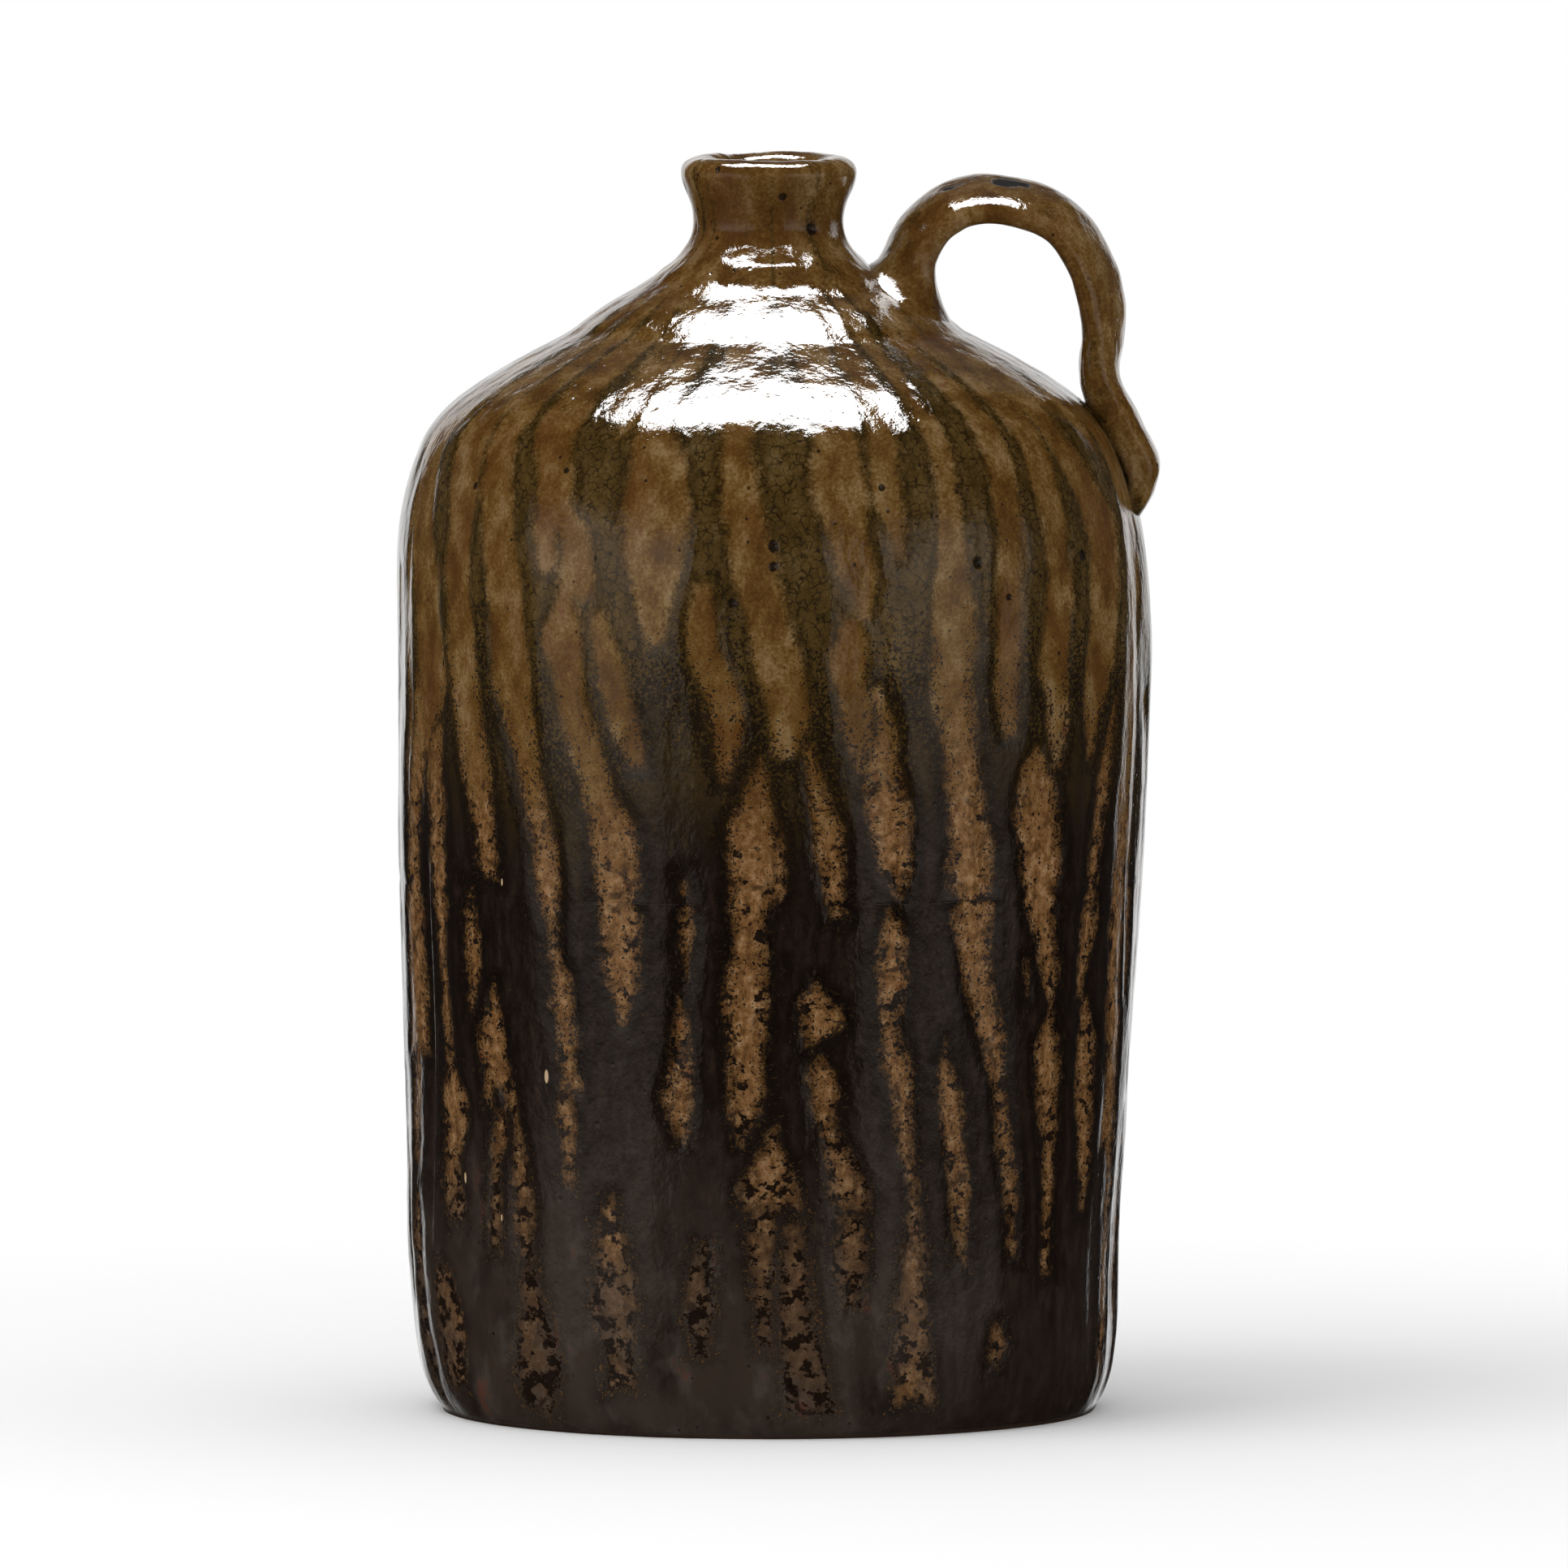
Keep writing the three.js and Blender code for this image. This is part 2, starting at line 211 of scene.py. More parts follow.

# %% [markdown]
# ## Where the glaze ran
# Each tan tongue is a place that the dark runs flowed round. On the front they are drawn from the
# photograph, row by row, as the pixel columns of the tongue's left and right edge. A pixel is turned into
# an angle round the jug and a height on its wall, so the tongues lie on the clay and stay there from any
# side. Nobody has seen the back, so its tongues are drawn by seeded chance in the same style.

# %% Draw the tongues on the front
# Each tongue has marks from its top down: pixel row, and pixel columns of its left and right edge
TONGUES = [
    [(560, 530, 548), (640, 514, 540), (760, 512, 540), (860, 509, 546), (930, 506, 527),
     (1290, 508, 530)],
    [(890, 524, 547), (1000, 528, 552), (1090, 532, 556), (1160, 541, 554), (1250, 546, 560),
     (1305, 552, 565)],
    [(1312, 556, 568), (1335, 549, 577), (1390, 551, 582), (1430, 553, 574), (1475, 557, 580),
     (1495, 565, 582)],
    [(560, 565, 600), (640, 556, 590), (740, 550, 582), (850, 553, 592), (910, 562, 602),
     (990, 580, 612), (1055, 588, 615), (1080, 598, 616)],
    [(1095, 577, 586), (1130, 573, 590), (1170, 575, 597), (1220, 578, 593), (1240, 581, 586)],
    [(560, 607, 640), (640, 600, 640), (740, 602, 645), (850, 610, 656), (920, 628, 668),
     (1010, 648, 684), (1100, 662, 694), (1140, 671, 691), (1200, 678, 706), (1250, 683, 712),
     (1300, 688, 713), (1335, 694, 718)],
    [(1345, 694, 706), (1380, 688, 713), (1410, 692, 716), (1455, 698, 708)],
    [(742, 688, 704), (780, 673, 716), (840, 680, 722), (920, 703, 745), (970, 716, 765),
     (1010, 725, 783), (1060, 730, 790), (1140, 737, 792), (1190, 741, 792), (1235, 755, 788),
     (1262, 758, 774)],
    [(610, 672, 700), (660, 690, 728), (735, 690, 733)],
    [(762, 735, 742), (800, 734, 760), (850, 742, 776), (900, 757, 796), (945, 774, 800)],
    [(728, 856, 876), (760, 848, 884), (800, 848, 890), (870, 868, 917), (910, 876, 918),
     (962, 888, 900)],
    [(600, 890, 930), (700, 905, 955), (760, 922, 970), (820, 930, 986), (870, 940, 1000),
     (930, 956, 985)],
    [(938, 932, 942), (970, 917, 953), (1000, 899, 957), (1095, 897, 966), (1120, 897, 952),
     (1200, 894, 951), (1250, 894, 948), (1300, 896, 943), (1360, 899, 940), (1405, 908, 915)],
    [(922, 985, 1000), (960, 988, 1012), (1030, 1000, 1040), (1070, 1004, 1042), (1130, 1018, 1048)],
    [(772, 1038, 1054), (810, 1022, 1068), (835, 1025, 1067), (900, 1034, 1078), (955, 1050, 1066)],
    [(850, 1068, 1082), (890, 1075, 1100), (940, 1062, 1110), (980, 1058, 1118), (1030, 1068, 1121),
     (1060, 1077, 1122), (1106, 1098, 1112)],
    [(1112, 1090, 1098), (1150, 1081, 1112), (1210, 1075, 1116), (1270, 1082, 1107), (1310, 1085, 1121),
     (1340, 1098, 1122), (1420, 1103, 1128), (1440, 1114, 1128), (1490, 1117, 1133), (1560, 1108, 1141),
     (1660, 1103, 1146), (1722, 1102, 1150)],
    [(600, 1150, 1172), (700, 1150, 1186), (800, 1143, 1199), (850, 1142, 1197), (950, 1155, 1207),
     (1050, 1161, 1221), (1092, 1166, 1222), (1150, 1173, 1217), (1200, 1181, 1222), (1270, 1200, 1235),
     (1340, 1220, 1241), (1410, 1228, 1248), (1480, 1237, 1257), (1545, 1241, 1254)],
    [(590, 1215, 1245), (720, 1227, 1254), (780, 1227, 1251), (850, 1221, 1250), (907, 1234, 1250)],
    [(590, 1265, 1295), (700, 1282, 1312), (820, 1276, 1309), (880, 1283, 1308), (946, 1290, 1301)],
    [(922, 1266, 1278), (950, 1250, 1290), (1000, 1246, 1298), (1060, 1250, 1304), (1105, 1254, 1300),
     (1160, 1270, 1298), (1200, 1274, 1301), (1246, 1285, 1297), (1280, 1272, 1301), (1340, 1273, 1303),
     (1430, 1282, 1304), (1500, 1286, 1298), (1560, 1284, 1296)],
    [(1185, 1260, 1266), (1225, 1258, 1268)],
    [(600, 1310, 1340), (640, 1326, 1362), (720, 1335, 1368), (800, 1332, 1362), (850, 1325, 1355),
     (937, 1328, 1338)],
    [(858, 1361, 1367), (920, 1350, 1363), (1000, 1340, 1358), (1100, 1332, 1349), (1150, 1325, 1347),
     (1222, 1324, 1332)],
    [(1232, 1333, 1341), (1280, 1327, 1348), (1340, 1324, 1346), (1450, 1330, 1345), (1492, 1330, 1337)],
    [(640, 1374, 1390), (850, 1376, 1392), (1060, 1367, 1386), (1200, 1361, 1380), (1300, 1361, 1378),
     (1410, 1360, 1374)],
    [(1213, 606, 611), (1250, 598, 620), (1290, 592, 628), (1312, 597, 631), (1345, 620, 640),
     (1385, 634, 646), (1430, 635, 653), (1480, 638, 660), (1545, 646, 666)],
    [(1308, 597, 612), (1357, 601, 608)],
    [(1368, 613, 626), (1395, 608, 631), (1425, 608, 621), (1470, 610, 623), (1532, 613, 621)],
    [(1078, 836, 850), (1115, 838, 857), (1160, 838, 858), (1208, 843, 854)],
    [(1222, 832, 846), (1260, 829, 851), (1310, 824, 854), (1350, 821, 856), (1402, 837, 849)],
    [(1205, 1002, 1010), (1225, 988, 1020), (1262, 984, 1036), (1288, 986, 1008)],
    [(1296, 998, 1016), (1340, 995, 1036), (1375, 1000, 1030), (1405, 1008, 1040), (1440, 1018, 1060),
     (1482, 1022, 1069)],
    [(1494, 1034, 1064), (1560, 1028, 1066), (1600, 1036, 1058)],
    [(1380, 953, 959), (1410, 935, 966), (1445, 916, 977), (1482, 914, 988)],
    [(1490, 924, 962), (1530, 926, 956), (1600, 932, 950), (1650, 934, 952)],
    [(1505, 964, 984), (1560, 962, 996), (1620, 960, 1006), (1670, 966, 1016), (1730, 968, 1020)],
    [(1280, 1160, 1165), (1305, 1153, 1172), (1345, 1155, 1186), (1420, 1161, 1192), (1480, 1172, 1199),
     (1555, 1176, 1195)],
    [(1470, 746, 758), (1500, 738, 770), (1560, 742, 780), (1620, 736, 786), (1645, 746, 778),
     (1700, 752, 790)],
    [(1560, 650, 668), (1620, 646, 682), (1680, 640, 692), (1728, 648, 684)],
    [(1530, 860, 876), (1600, 850, 880), (1660, 858, 872)],
    [(1560, 545, 566), (1640, 548, 578), (1700, 556, 574)],
    [(1632, 1224, 1232), (1650, 1221, 1239), (1672, 1220, 1230)],
    [(535, 668, 712), (600, 668, 712), (650, 662, 694), (700, 672, 690)],
    [(540, 788, 832), (600, 776, 850), (680, 770, 846), (740, 784, 832), (795, 802, 822)],
    [(540, 1005, 1050), (600, 1000, 1058), (650, 1010, 1066), (700, 1030, 1078), (735, 1048, 1077),
     (760, 1058, 1070)],
    [(520, 1066, 1098), (560, 1067, 1102), (600, 1077, 1106), (650, 1088, 1108), (690, 1098, 1108)],
]


def place_on_wall(columns, rows):
    """Angles round the jug, from the front to the right, and heights in mm of pixels on the wall."""
    across = (np.asarray(columns) - AXIS_COLUMN) * PIXEL / MM
    height = (BASE_ROW - np.asarray(rows)) * PIXEL / MM
    for _ in range(3):
        radius = wall_radius(height)
        angle = np.arcsin(np.clip(across / radius, -1, 1))
        nearer = radius * np.cos(angle) * math.sin(CAMERA_RISE)
        height = ((BASE_ROW - np.asarray(rows)) * PIXEL / MM + nearer) / math.cos(CAMERA_RISE)
    return angle, height


SHOULDER_ROW = 640  # a tongue that is drawn from above this row goes on over the shoulder
TONGUE_TOP = 306.0  # mm, where such a tongue starts on the cap
tongues = []
for drawn in TONGUES:
    rows, lefts, rights = np.array(drawn).T
    left, height = place_on_wall(lefts, rows)
    right, _ = place_on_wall(rights, rows)
    if rows[0] <= SHOULDER_ROW:
        height = np.append(TONGUE_TOP, height)
        left = np.append(left[0], left)
        right = np.append(right[0], right)
    tongues.append((height[::-1], left[::-1], right[::-1]))
print(len(tongues), "tongues on the front")

# %% Let chance draw the tongues on the back
chance = np.random.default_rng(7)
BACK_FROM = math.radians(74)
BACK_SPACING = math.radians(9.6)
ROUND = 100.0  # radius in mm on which the skin is unrolled
BACK_TOPS, BACK_LENGTHS, BACK_GAPS = (195, 245), (40, 120), (2, 35)  # mm, along the height
BACK_FOOT, BACK_LAST = 6, 60  # mm, the lowest end of a tongue and the lowest top
BACK_DRIFT = (0.0, 0.05)  # mm to the right for each mm down
BACK_SWAY = 0.012  # the angle by which the marks of a tongue stray to both sides
BACK_HALF, BACK_EVEN = (3.2, 6.8), 0.65  # half a tongue's width in mm, and the least share of it at a mark
MARKS = 7  # on one tongue
ROUNDED = np.sqrt(np.sin(np.linspace(0.12, math.pi - 0.08, MARKS)))  # a tongue narrows to its ends
for place in np.arange(BACK_FROM, 2 * math.pi - BACK_FROM, BACK_SPACING):
    top = chance.uniform(*BACK_TOPS)
    while top > BACK_LAST:
        length = chance.uniform(*BACK_LENGTHS)
        heights = np.linspace(max(top - length, BACK_FOOT), top, MARKS)
        drift_right = chance.uniform(*BACK_DRIFT) * (top - heights) / ROUND
        sway = chance.normal(0, BACK_SWAY, MARKS)
        half = chance.uniform(*BACK_HALF) / ROUND
        half *= (BACK_EVEN + (1 - BACK_EVEN) * chance.uniform(0, 1, MARKS)) * ROUNDED
        centre = place + drift_right + sway
        tongues.append((heights, centre - half, centre + half))
        top = heights[0] - chance.uniform(*BACK_GAPS)
print(len(tongues), "tongues all round")

# %% [markdown]
# ## Fields on the skin
# What the finish needs to know of a place on the skin is kept in a few fields: how far inside a tan
# tongue it is, how far below the line where olive turns to black, how bare the clay is. They are worked
# out for every vertex with smooth noise on the unrolled skin, which meets itself after a full turn, and
# are stored with the mesh. Fine grain, under a millimetre or two, is left to the material.

# %% Work out the fields of the glaze
TONGUE_FADE = 8.0  # mm from a tongue's edge at which its field reaches 0 or 1
FALL_HEIGHT = 198.0  # where olive turns to black
FALL_FADE = 70.0  # mm above and below that at which its field reaches 0 or 1
DRAWN_TO = (1.1, 1.4)  # angles from the front between which the drawn tongues give way to chance
NEAR_TURN = 0.1  # how far beside a tongue it is still felt, as an angle
TIP_BLUNT = 0.8  # mm by which the ends of a tongue are blunted
# Rows of smooth noise: depth in mm, how much deeper on the wall, width and length in mm, and seed
STREAKS = [(3.5, 0, 9, 110, 1), (2.5, 0, 4.5, 45, 2)]  # tan on the shoulder, where no tongue is drawn
TONGUE_WAVER = [(0.8, 0, 3.5, 6, 12)]
FALL_BAYS, FALL_FRINGE = [(11, 0, 22, 90, 3)], [(6, 0, 8, 60, 4)]
SEAM_WAVER = [(0.9, 0, 40, 40, 9)]
POOL_BREAKS = [(1.0, 0, 14, 40, 11)]
# Heights in mm on the back between which the streaks set in, each with how much higher it is in front
STREAKS_START = (195, 60), (250, 30)
STREAK_SUNK = 11  # mm that the streaks are narrower below that
STREAK_CALM, STREAK_CALMS = 0.6, (288, 312)  # how much weaker they get on the cap, and over which heights
HIGH_WIDER, STREAK_WIDER = 0.5, 0.2  # mm that tongues and streaks are wider on the shoulder
NECK_WIDER, NECK_TAN = 2.4, (296, 312)  # mm on the neck, and the heights over which that sets in
POOL_WIDTH, POOL_DEPTH, POOL_SHARE = 1.2, 3, 0.2  # dark glaze that pooled at the body's seam


def ramp(value, low, high):
    """0 below low, 1 above high, and a smooth rise between them."""
    share = np.clip((value - low) / (high - low), 0, 1)
    return share * share * (3 - 2 * share)


def bell(away, width):
    """1 in the middle of a form and 0 far from it."""
    return np.exp(-((away / width) ** 2))


def spline_weights(t):
    """Weights of four neighbours on a row of random values, for a smooth curve over them."""
    return (1 - t) ** 3 / 6, (3 * t**3 - 6 * t**2 + 4) / 6, (3 * t + 3 * t**2 - 3 * t**3 + 1) / 6, t**3 / 6


def drift(angle, reach, width, length, seed):
    """Smooth noise from about -1 to 1 on the unrolled skin, with marks of a width and length in mm."""
    columns = round(2 * math.pi * ROUND / width)
    rows = round(skin_reach[-1] / length) + 4
    lattice = np.random.default_rng(seed).normal(0, 1.2, (rows, columns))
    across, up = angle / (2 * math.pi) * columns, np.asarray(reach) / length
    column, row = np.floor(across).astype(int), np.floor(up).astype(int)
    total = 0.0
    for i, weight in enumerate(spline_weights(across - column)):
        for j, other in enumerate(spline_weights(up - row)):
            total = total + weight * other * lattice[(row + j) % rows, (column + i) % columns]
    return total


def uneven(angle, reach, rows, wall=0):
    """The sum of some rows of smooth noise, in mm; wall is 1 on the wall and 0 on the cap."""
    total = 0.0
    for depth, deeper, width, length, seed in rows:
        total = total + (depth + deeper * wall) * drift(angle, reach, width, length, seed)
    return total


def curve_at(value, marks, levels):
    """A smooth curve through levels that are given at rising marks."""
    slopes = np.gradient(levels, marks)
    i = np.clip(np.searchsorted(marks, value) - 1, 0, len(marks) - 2)
    step = marks[i + 1] - marks[i]
    t = np.clip((value - marks[i]) / step, 0, 1)
    leave, arrive = slopes[i] * step, slopes[i + 1] * step
    rise = levels[i + 1] - levels[i]
    return levels[i] + t * (leave + t * (3 * rise - 2 * leave - arrive + t * (leave + arrive - 2 * rise)))


def inside_tongue(angle, height):
    """How far inside the nearest tongue a place is, in mm; negative outside."""
    best = np.full(len(angle), -TONGUE_FADE)
    radius = wall_radius(height)
    for heights, left, right in tongues:
        turned = angle + 2 * math.pi * np.round((left.mean() - angle) / (2 * math.pi))
        near = (turned > left.min() - NEAR_TURN) & (turned < right.max() + NEAR_TURN)
        near &= (height > heights[0] - TONGUE_FADE) & (height < heights[-1] + TONGUE_FADE)
        here, level = turned[near], height[near]
        sideways = np.minimum(here - curve_at(level, heights, left), curve_at(level, heights, right) - here)
        upright = np.minimum(level - heights[0], heights[-1] - level) + TIP_BLUNT
        best[near] = np.maximum(best[near], np.minimum(sideways * radius[near], upright))
    return best


SEAM_HEIGHTS = [sum(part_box(node)[end].z for end in (0, 1)) / 2 / MM for node in RING_LUTES]


def off_seam(angle, reach, height):
    """Distance in mm from a seam's wavering line along the skin."""
    return reach - reach_at(height) - uneven(angle, 0, SEAM_WAVER)


def tongue_level(tongue):
    """The tongue field, from 0 to 1, for a distance into a tongue in mm."""
    return 0.5 + tongue / (2 * TONGUE_FADE)


def glaze_fields(angle, reach, height):
    """How far into a tongue places on the skin are, in mm, and their fall field."""
    streak = uneven(angle, reach, STREAKS) * (1 - STREAK_CALM * ramp(height, *STREAK_CALMS))
    front = 1 - ramp(np.abs(angle), *DRAWN_TO)
    high = ramp(height, *(level + higher * front for level, higher in STREAKS_START))
    drawn = inside_tongue(angle, height) + HIGH_WIDER * high
    tongue = np.maximum(drawn, streak + STREAK_WIDER - STREAK_SUNK * (1 - high))
    tongue += uneven(angle, reach, TONGUE_WAVER) + NECK_WIDER * ramp(height, *NECK_TAN)
    pooled = bell(off_seam(angle, reach, SEAM_HEIGHTS[0]), POOL_WIDTH)
    tongue -= POOL_DEPTH * pooled * np.clip(POOL_SHARE + uneven(angle, 0, POOL_BREAKS), 0, 1)
    fall_line = FALL_HEIGHT + uneven(angle, 0, FALL_BAYS) + uneven(angle, reach, FALL_FRINGE)
    fall = 0.5 + (fall_line - height) / (2 * FALL_FADE)
    return tongue, np.clip(fall, 0, 1)

# %% [markdown]
# ## The three thrown sections and their seams
# Each outline is spun round the axis, as on the wheel. The skin then gets what the hand and the kiln left
# on it: slow dents, upright ribs where the glaze ran thick, tongues that lie a little lower than the runs
# beside them, and a shallow groove where two sections meet. A bump in the material could fake this from
# the front, but the outline would stay smooth, so the vertices of a fine mesh are moved.

# %% Forms of the uneven skin
# More rows of smooth noise
DENTS = [(0.35, 0.0, 45, 60, 5), (0.05, 0.0, 12, 22, 6)]
RIBS = [(0.12, 0.32, 8, 50, 8), (0.02, 0.2, 5, 32, 7)]
SIDE_RIBS = [(0.0, 0.22, 6, 16, 14)]
CREASE_BREAKS = [(0.6, 0, 18, 40, 10)]
LEDGE_BREAKS = [(0.5, 0, 16, 40, 13)]
SIDES_FROM = (0.9, 1.25)  # angles from the front over which the ribs of the sides set in
# Zones: heights in mm over which a zone sets in, and over which it ends
FAIRED = (8, 20), (306, 312)
SHOULDER = (215, 248), (298, 308)
FURROWED = (35, 70), (145, 158)
CAP_DIMPLED = (305, 310), (313, 318)
WALL_ENDS = (235, 290)
RIBS_END = (288, 312)
WALL_STARTS = (4, 25)
WALL_LIFT = 0.45  # mm of glaze that the wall gets before the tongues sink into it
SHOULDER_LIFT = 0.9  # mm that the real shoulder is fuller than the turned form
SUNK_TONGUE = (0.15, 0.35)  # mm that a tongue lies lower, and how much more on the wall
TONGUE_BANK = (-3.5, 2.5)  # mm into a tongue over which it sinks
# Dimples in mm: size, depth, how much shallower on the wall, and how much deeper at the neck's foot
DIMPLE_SIZE, DIMPLE_DEPTH, DIMPLE_WALL, DIMPLE_CAP = 5.5, 0.2, 0.12, 0.2
# A furrow between two thick runs on the left
FURROW_TURN, FURROW_WIDTH, FURROW_DEPTH = math.radians(-67.5), 1.8, 0.9
# The crease at the body's seam shows most on the left
CREASE_WIDTH, CREASE_DEPTH, CREASE_LEFT, CREASE_SHARE = 1.3, 0.02, 0.4, 0.7
CREASE_TURN, CREASE_SPREAD = -68, 22  # degrees
# The shoulder is drawn in a little below the edge of the cap
LEDGE_HEIGHT, LEDGE_DEPTH, LEDGE_BELOW, LEDGE_ABOVE = 293.4, 0.45, 3.0, 2.0
LEDGE_SHARE, LEDGE_LEAST, LEDGE_MOST = 0.6, 0.1, 1.1  # it is worn away in places
# Clay that was smoothed round the foot of the neck, most of it in front
ROLL_HEIGHT, ROLL_DEPTH, ROLL_BELOW, ROLL_ABOVE = 311.7, 2.5, 6.0, 8.0
ROLL_TURN = math.radians(55)
# The jug leans: heights in mm and how far the wall is off to the handle's side there
LEAN = np.array([
    (0, -0.3), (20, -1.0), (45, -1.8), (70, -1.1), (100, -0.2), (140, 0.3), (175, 0.8), (209, 1.5),
    (240, 0.7), (270, 0.0), (341, 0.0),
])


# %% Uneven skin
def between(height, start, end):
    """1 in a zone, 0 outside, and a smooth change where it sets in and where it ends."""
    return ramp(height, *start) * (1 - ramp(height, *end))


def skin_relief(places, angle, reach, height, tongue):
    """How far the skin stands out from the turned form, in mm."""
    wall = 1 - ramp(height, *WALL_ENDS)
    relief = np.interp(reach, skin_reach, fairing) * between(height, *FAIRED)
    relief += WALL_LIFT * ramp(height, *WALL_STARTS) * wall + SHOULDER_LIFT * between(height, *SHOULDER)
    lean = curve_at(height, LEAN[:, 0], LEAN[:, 1])
    relief += lean * np.sin(angle) * np.interp(reach, skin_reach, skin_out[:, 0])
    relief += uneven(angle, reach, DENTS, wall)
    ribs = uneven(angle, reach, RIBS, wall)
    ribs += ramp(np.abs(angle), *SIDES_FROM) * uneven(angle, reach, SIDE_RIBS, wall)
    relief += ribs * (1 - ramp(height, *RIBS_END))
    furrow = bell((angle - FURROW_TURN) * wall_radius(height), FURROW_WIDTH)
    relief -= FURROW_DEPTH * furrow * between(height, *FURROWED)
    relief -= (SUNK_TONGUE[0] + SUNK_TONGUE[1] * wall) * ramp(tongue, *TONGUE_BANK)
    dimples = np.array([noise.noise(p) for p in (places / DIMPLE_SIZE).tolist()])
    relief += (DIMPLE_DEPTH - DIMPLE_WALL * wall + DIMPLE_CAP * between(height, *CAP_DIMPLED)) * dimples
    crease = CREASE_DEPTH + CREASE_LEFT * bell(np.degrees(angle) - CREASE_TURN, CREASE_SPREAD)
    crease *= bell(off_seam(angle, reach, SEAM_HEIGHTS[0]), CREASE_WIDTH)
    relief -= crease * np.clip(CREASE_SHARE + uneven(angle, 0, CREASE_BREAKS), 0, 1)
    above = off_seam(angle, reach, LEDGE_HEIGHT)
    ledge = bell(above, np.where(above < 0, LEDGE_BELOW, LEDGE_ABOVE))
    ledge *= np.clip(LEDGE_SHARE + uneven(angle, 0, LEDGE_BREAKS), LEDGE_LEAST, LEDGE_MOST)
    relief -= LEDGE_DEPTH * ledge
    above = reach - reach_at(ROLL_HEIGHT)
    roll = bell(above, np.where(above < 0, ROLL_BELOW, ROLL_ABOVE)) * bell(angle, ROLL_TURN)
    return relief + ROLL_DEPTH * roll


# %% Spin an outline
SECTORS = 18  # a spin gets slow as its mesh grows, so one sector is spun and then copied round


def spun(name, line, columns):
    """A mesh object from an outline that is spun round the axis."""
    bm = bmesh.new()
    verts = [bm.verts.new(p) for p in line]
    edges = [bm.edges.new(pair) for pair in zip(verts, verts[1:])]
    sector = 2 * math.pi / SECTORS
    bmesh.ops.spin(bm, geom=verts + edges, axis=(0, 0, 1), angle=sector, steps=columns // SECTORS)
    wedge = bm.verts[:] + bm.edges[:] + bm.faces[:]
    bmesh.ops.spin(
        bm, geom=wedge, axis=(0, 0, 1), angle=2 * math.pi - sector, steps=SECTORS - 1, use_duplicate=True
    )
    bmesh.ops.remove_doubles(bm, verts=bm.verts, dist=10 * SNAP)
    bmesh.ops.recalc_face_normals(bm, faces=bm.faces)
    mesh = bpy.data.meshes.new(name)
    bm.to_mesh(mesh)
    bm.free()
    piece = bpy.data.objects.new(name, mesh)
    bpy.context.scene.collection.objects.link(piece)
    mesh.shade_smooth()
    mesh.set_sharp_from_angle(angle=CORNER)
    return piece


# %% Move the skin and store its fields
ON_SKIN = 0.05  # mm off the skin within which a vertex belongs to it
LOW_ENDS = (10, 110)  # heights in mm over which the dull zone above the foot ends
LOW_CLEAR = 0.75  # how much less dull it is to the right of the front
LOW_CLEAR_FROM, LOW_CLEAR_TO = (0.2, 0.7), (1.3, 1.8)  # angles from the front
BARE_ENDS = (0.1, 0.9)  # heights in mm over which the bare foot ends
FLAT_ENDS = (0.0, 2.5)  # and over which the even underside does


def positions(mesh):
    """The mesh's vertices in mm."""
    flat = np.empty(len(mesh.vertices) * 3)
    mesh.vertices.foreach_get("co", flat)
    return flat.reshape(-1, 3) / MM


def directions(mesh):
    """The normals of the mesh's vertices."""
    flat = np.empty(len(mesh.vertices) * 3)
    mesh.vertices.foreach_get("normal", flat)
    return flat.reshape(-1, 3)


def store(mesh, places, **fields):
    """Writes moved vertices in mm and the fields of the finish into a mesh."""
    mesh.vertices.foreach_set("co", (places * MM).ravel())
    colour = np.stack([fields[key] for key in ("tongue", "fall", "low", "bare")], axis=1)
    layer = mesh.attributes.new("glaze", "FLOAT_COLOR", "POINT")
    layer.data.foreach_set("color", np.clip(colour, 0, 1).ravel())
    layer = mesh.attributes.new("chip", "FLOAT", "POINT")
    layer.data.foreach_set("value", fields["chip"])
    mesh.update()


def glaze_skin(piece, swell=0.0):
    """Gives a turned piece its uneven skin and its fields."""
    mesh = piece.data
    places = positions(mesh)
    if swell:
        places += directions(mesh) * swell
    index, reach, proud = skin_below(places)
    on_skin = np.abs(proud) < ON_SKIN + 1.5 * swell
    angle = np.arctan2(places[:, 0], -places[:, 1])
    height = np.minimum(places[:, 2], below_lip)
    tongue, fall = glaze_fields(angle, reach, height)
    relief = skin_relief(places, angle, reach, height, tongue)
    relief = np.where(on_skin, relief - (proud if swell else 0), 0) * ramp(places[:, 2], *FLAT_ENDS)
    out = skin_out[index] * relief[:, None]
    places[:, 0] += out[:, 0] * np.sin(angle)
    places[:, 1] -= out[:, 0] * np.cos(angle)
    places[:, 2] += out[:, 1]
    low = (1 - ramp(height, *LOW_ENDS)) * (1 - LOW_CLEAR * between(angle, LOW_CLEAR_FROM, LOW_CLEAR_TO))
    bare = 1 - ramp(places[:, 2], *BARE_ENDS)
    store(mesh, places, tongue=tongue_level(tongue), fall=fall, low=low, bare=bare, chip=0 * low)
    print(piece.name, len(mesh.polygons), "faces,", int(on_skin.sum()), "vertices on the skin")


# %% Make the sections and their seams
COLUMNS = {"lower_section": 900, "upper_section": 864, "neck_cap": 540}
LUTE_COLUMNS = 540
COARSE = 9 * MM
LUTE_STEP = 0.7 * MM
GAP_FILL = 0.45  # mm by which a lute swells into the gaps beside it
pieces = {}
for node, part in SKIN_OF.items():
    parts = outlines[node]
    line = []
    for i, stretch in enumerate(parts):
        fine = FINE_STEP if node == "neck_cap" else SKIN_STEP
        line += smooth_line(stretch, fine if i == part else COARSE)[:-1]
    pieces[node] = spun(node + "_glazed", line + [parts[-1][-1]], COLUMNS[node])
    glaze_skin(pieces[node])
for node in RING_LUTES:
    line = []
    for stretch in outlines[node]:
        line += smooth_line(stretch, LUTE_STEP)[:-1]
    pieces[node] = spun(node + "_glazed", line + [outlines[node][-1][-1]], LUTE_COLUMNS)
    glaze_skin(pieces[node], GAP_FILL)

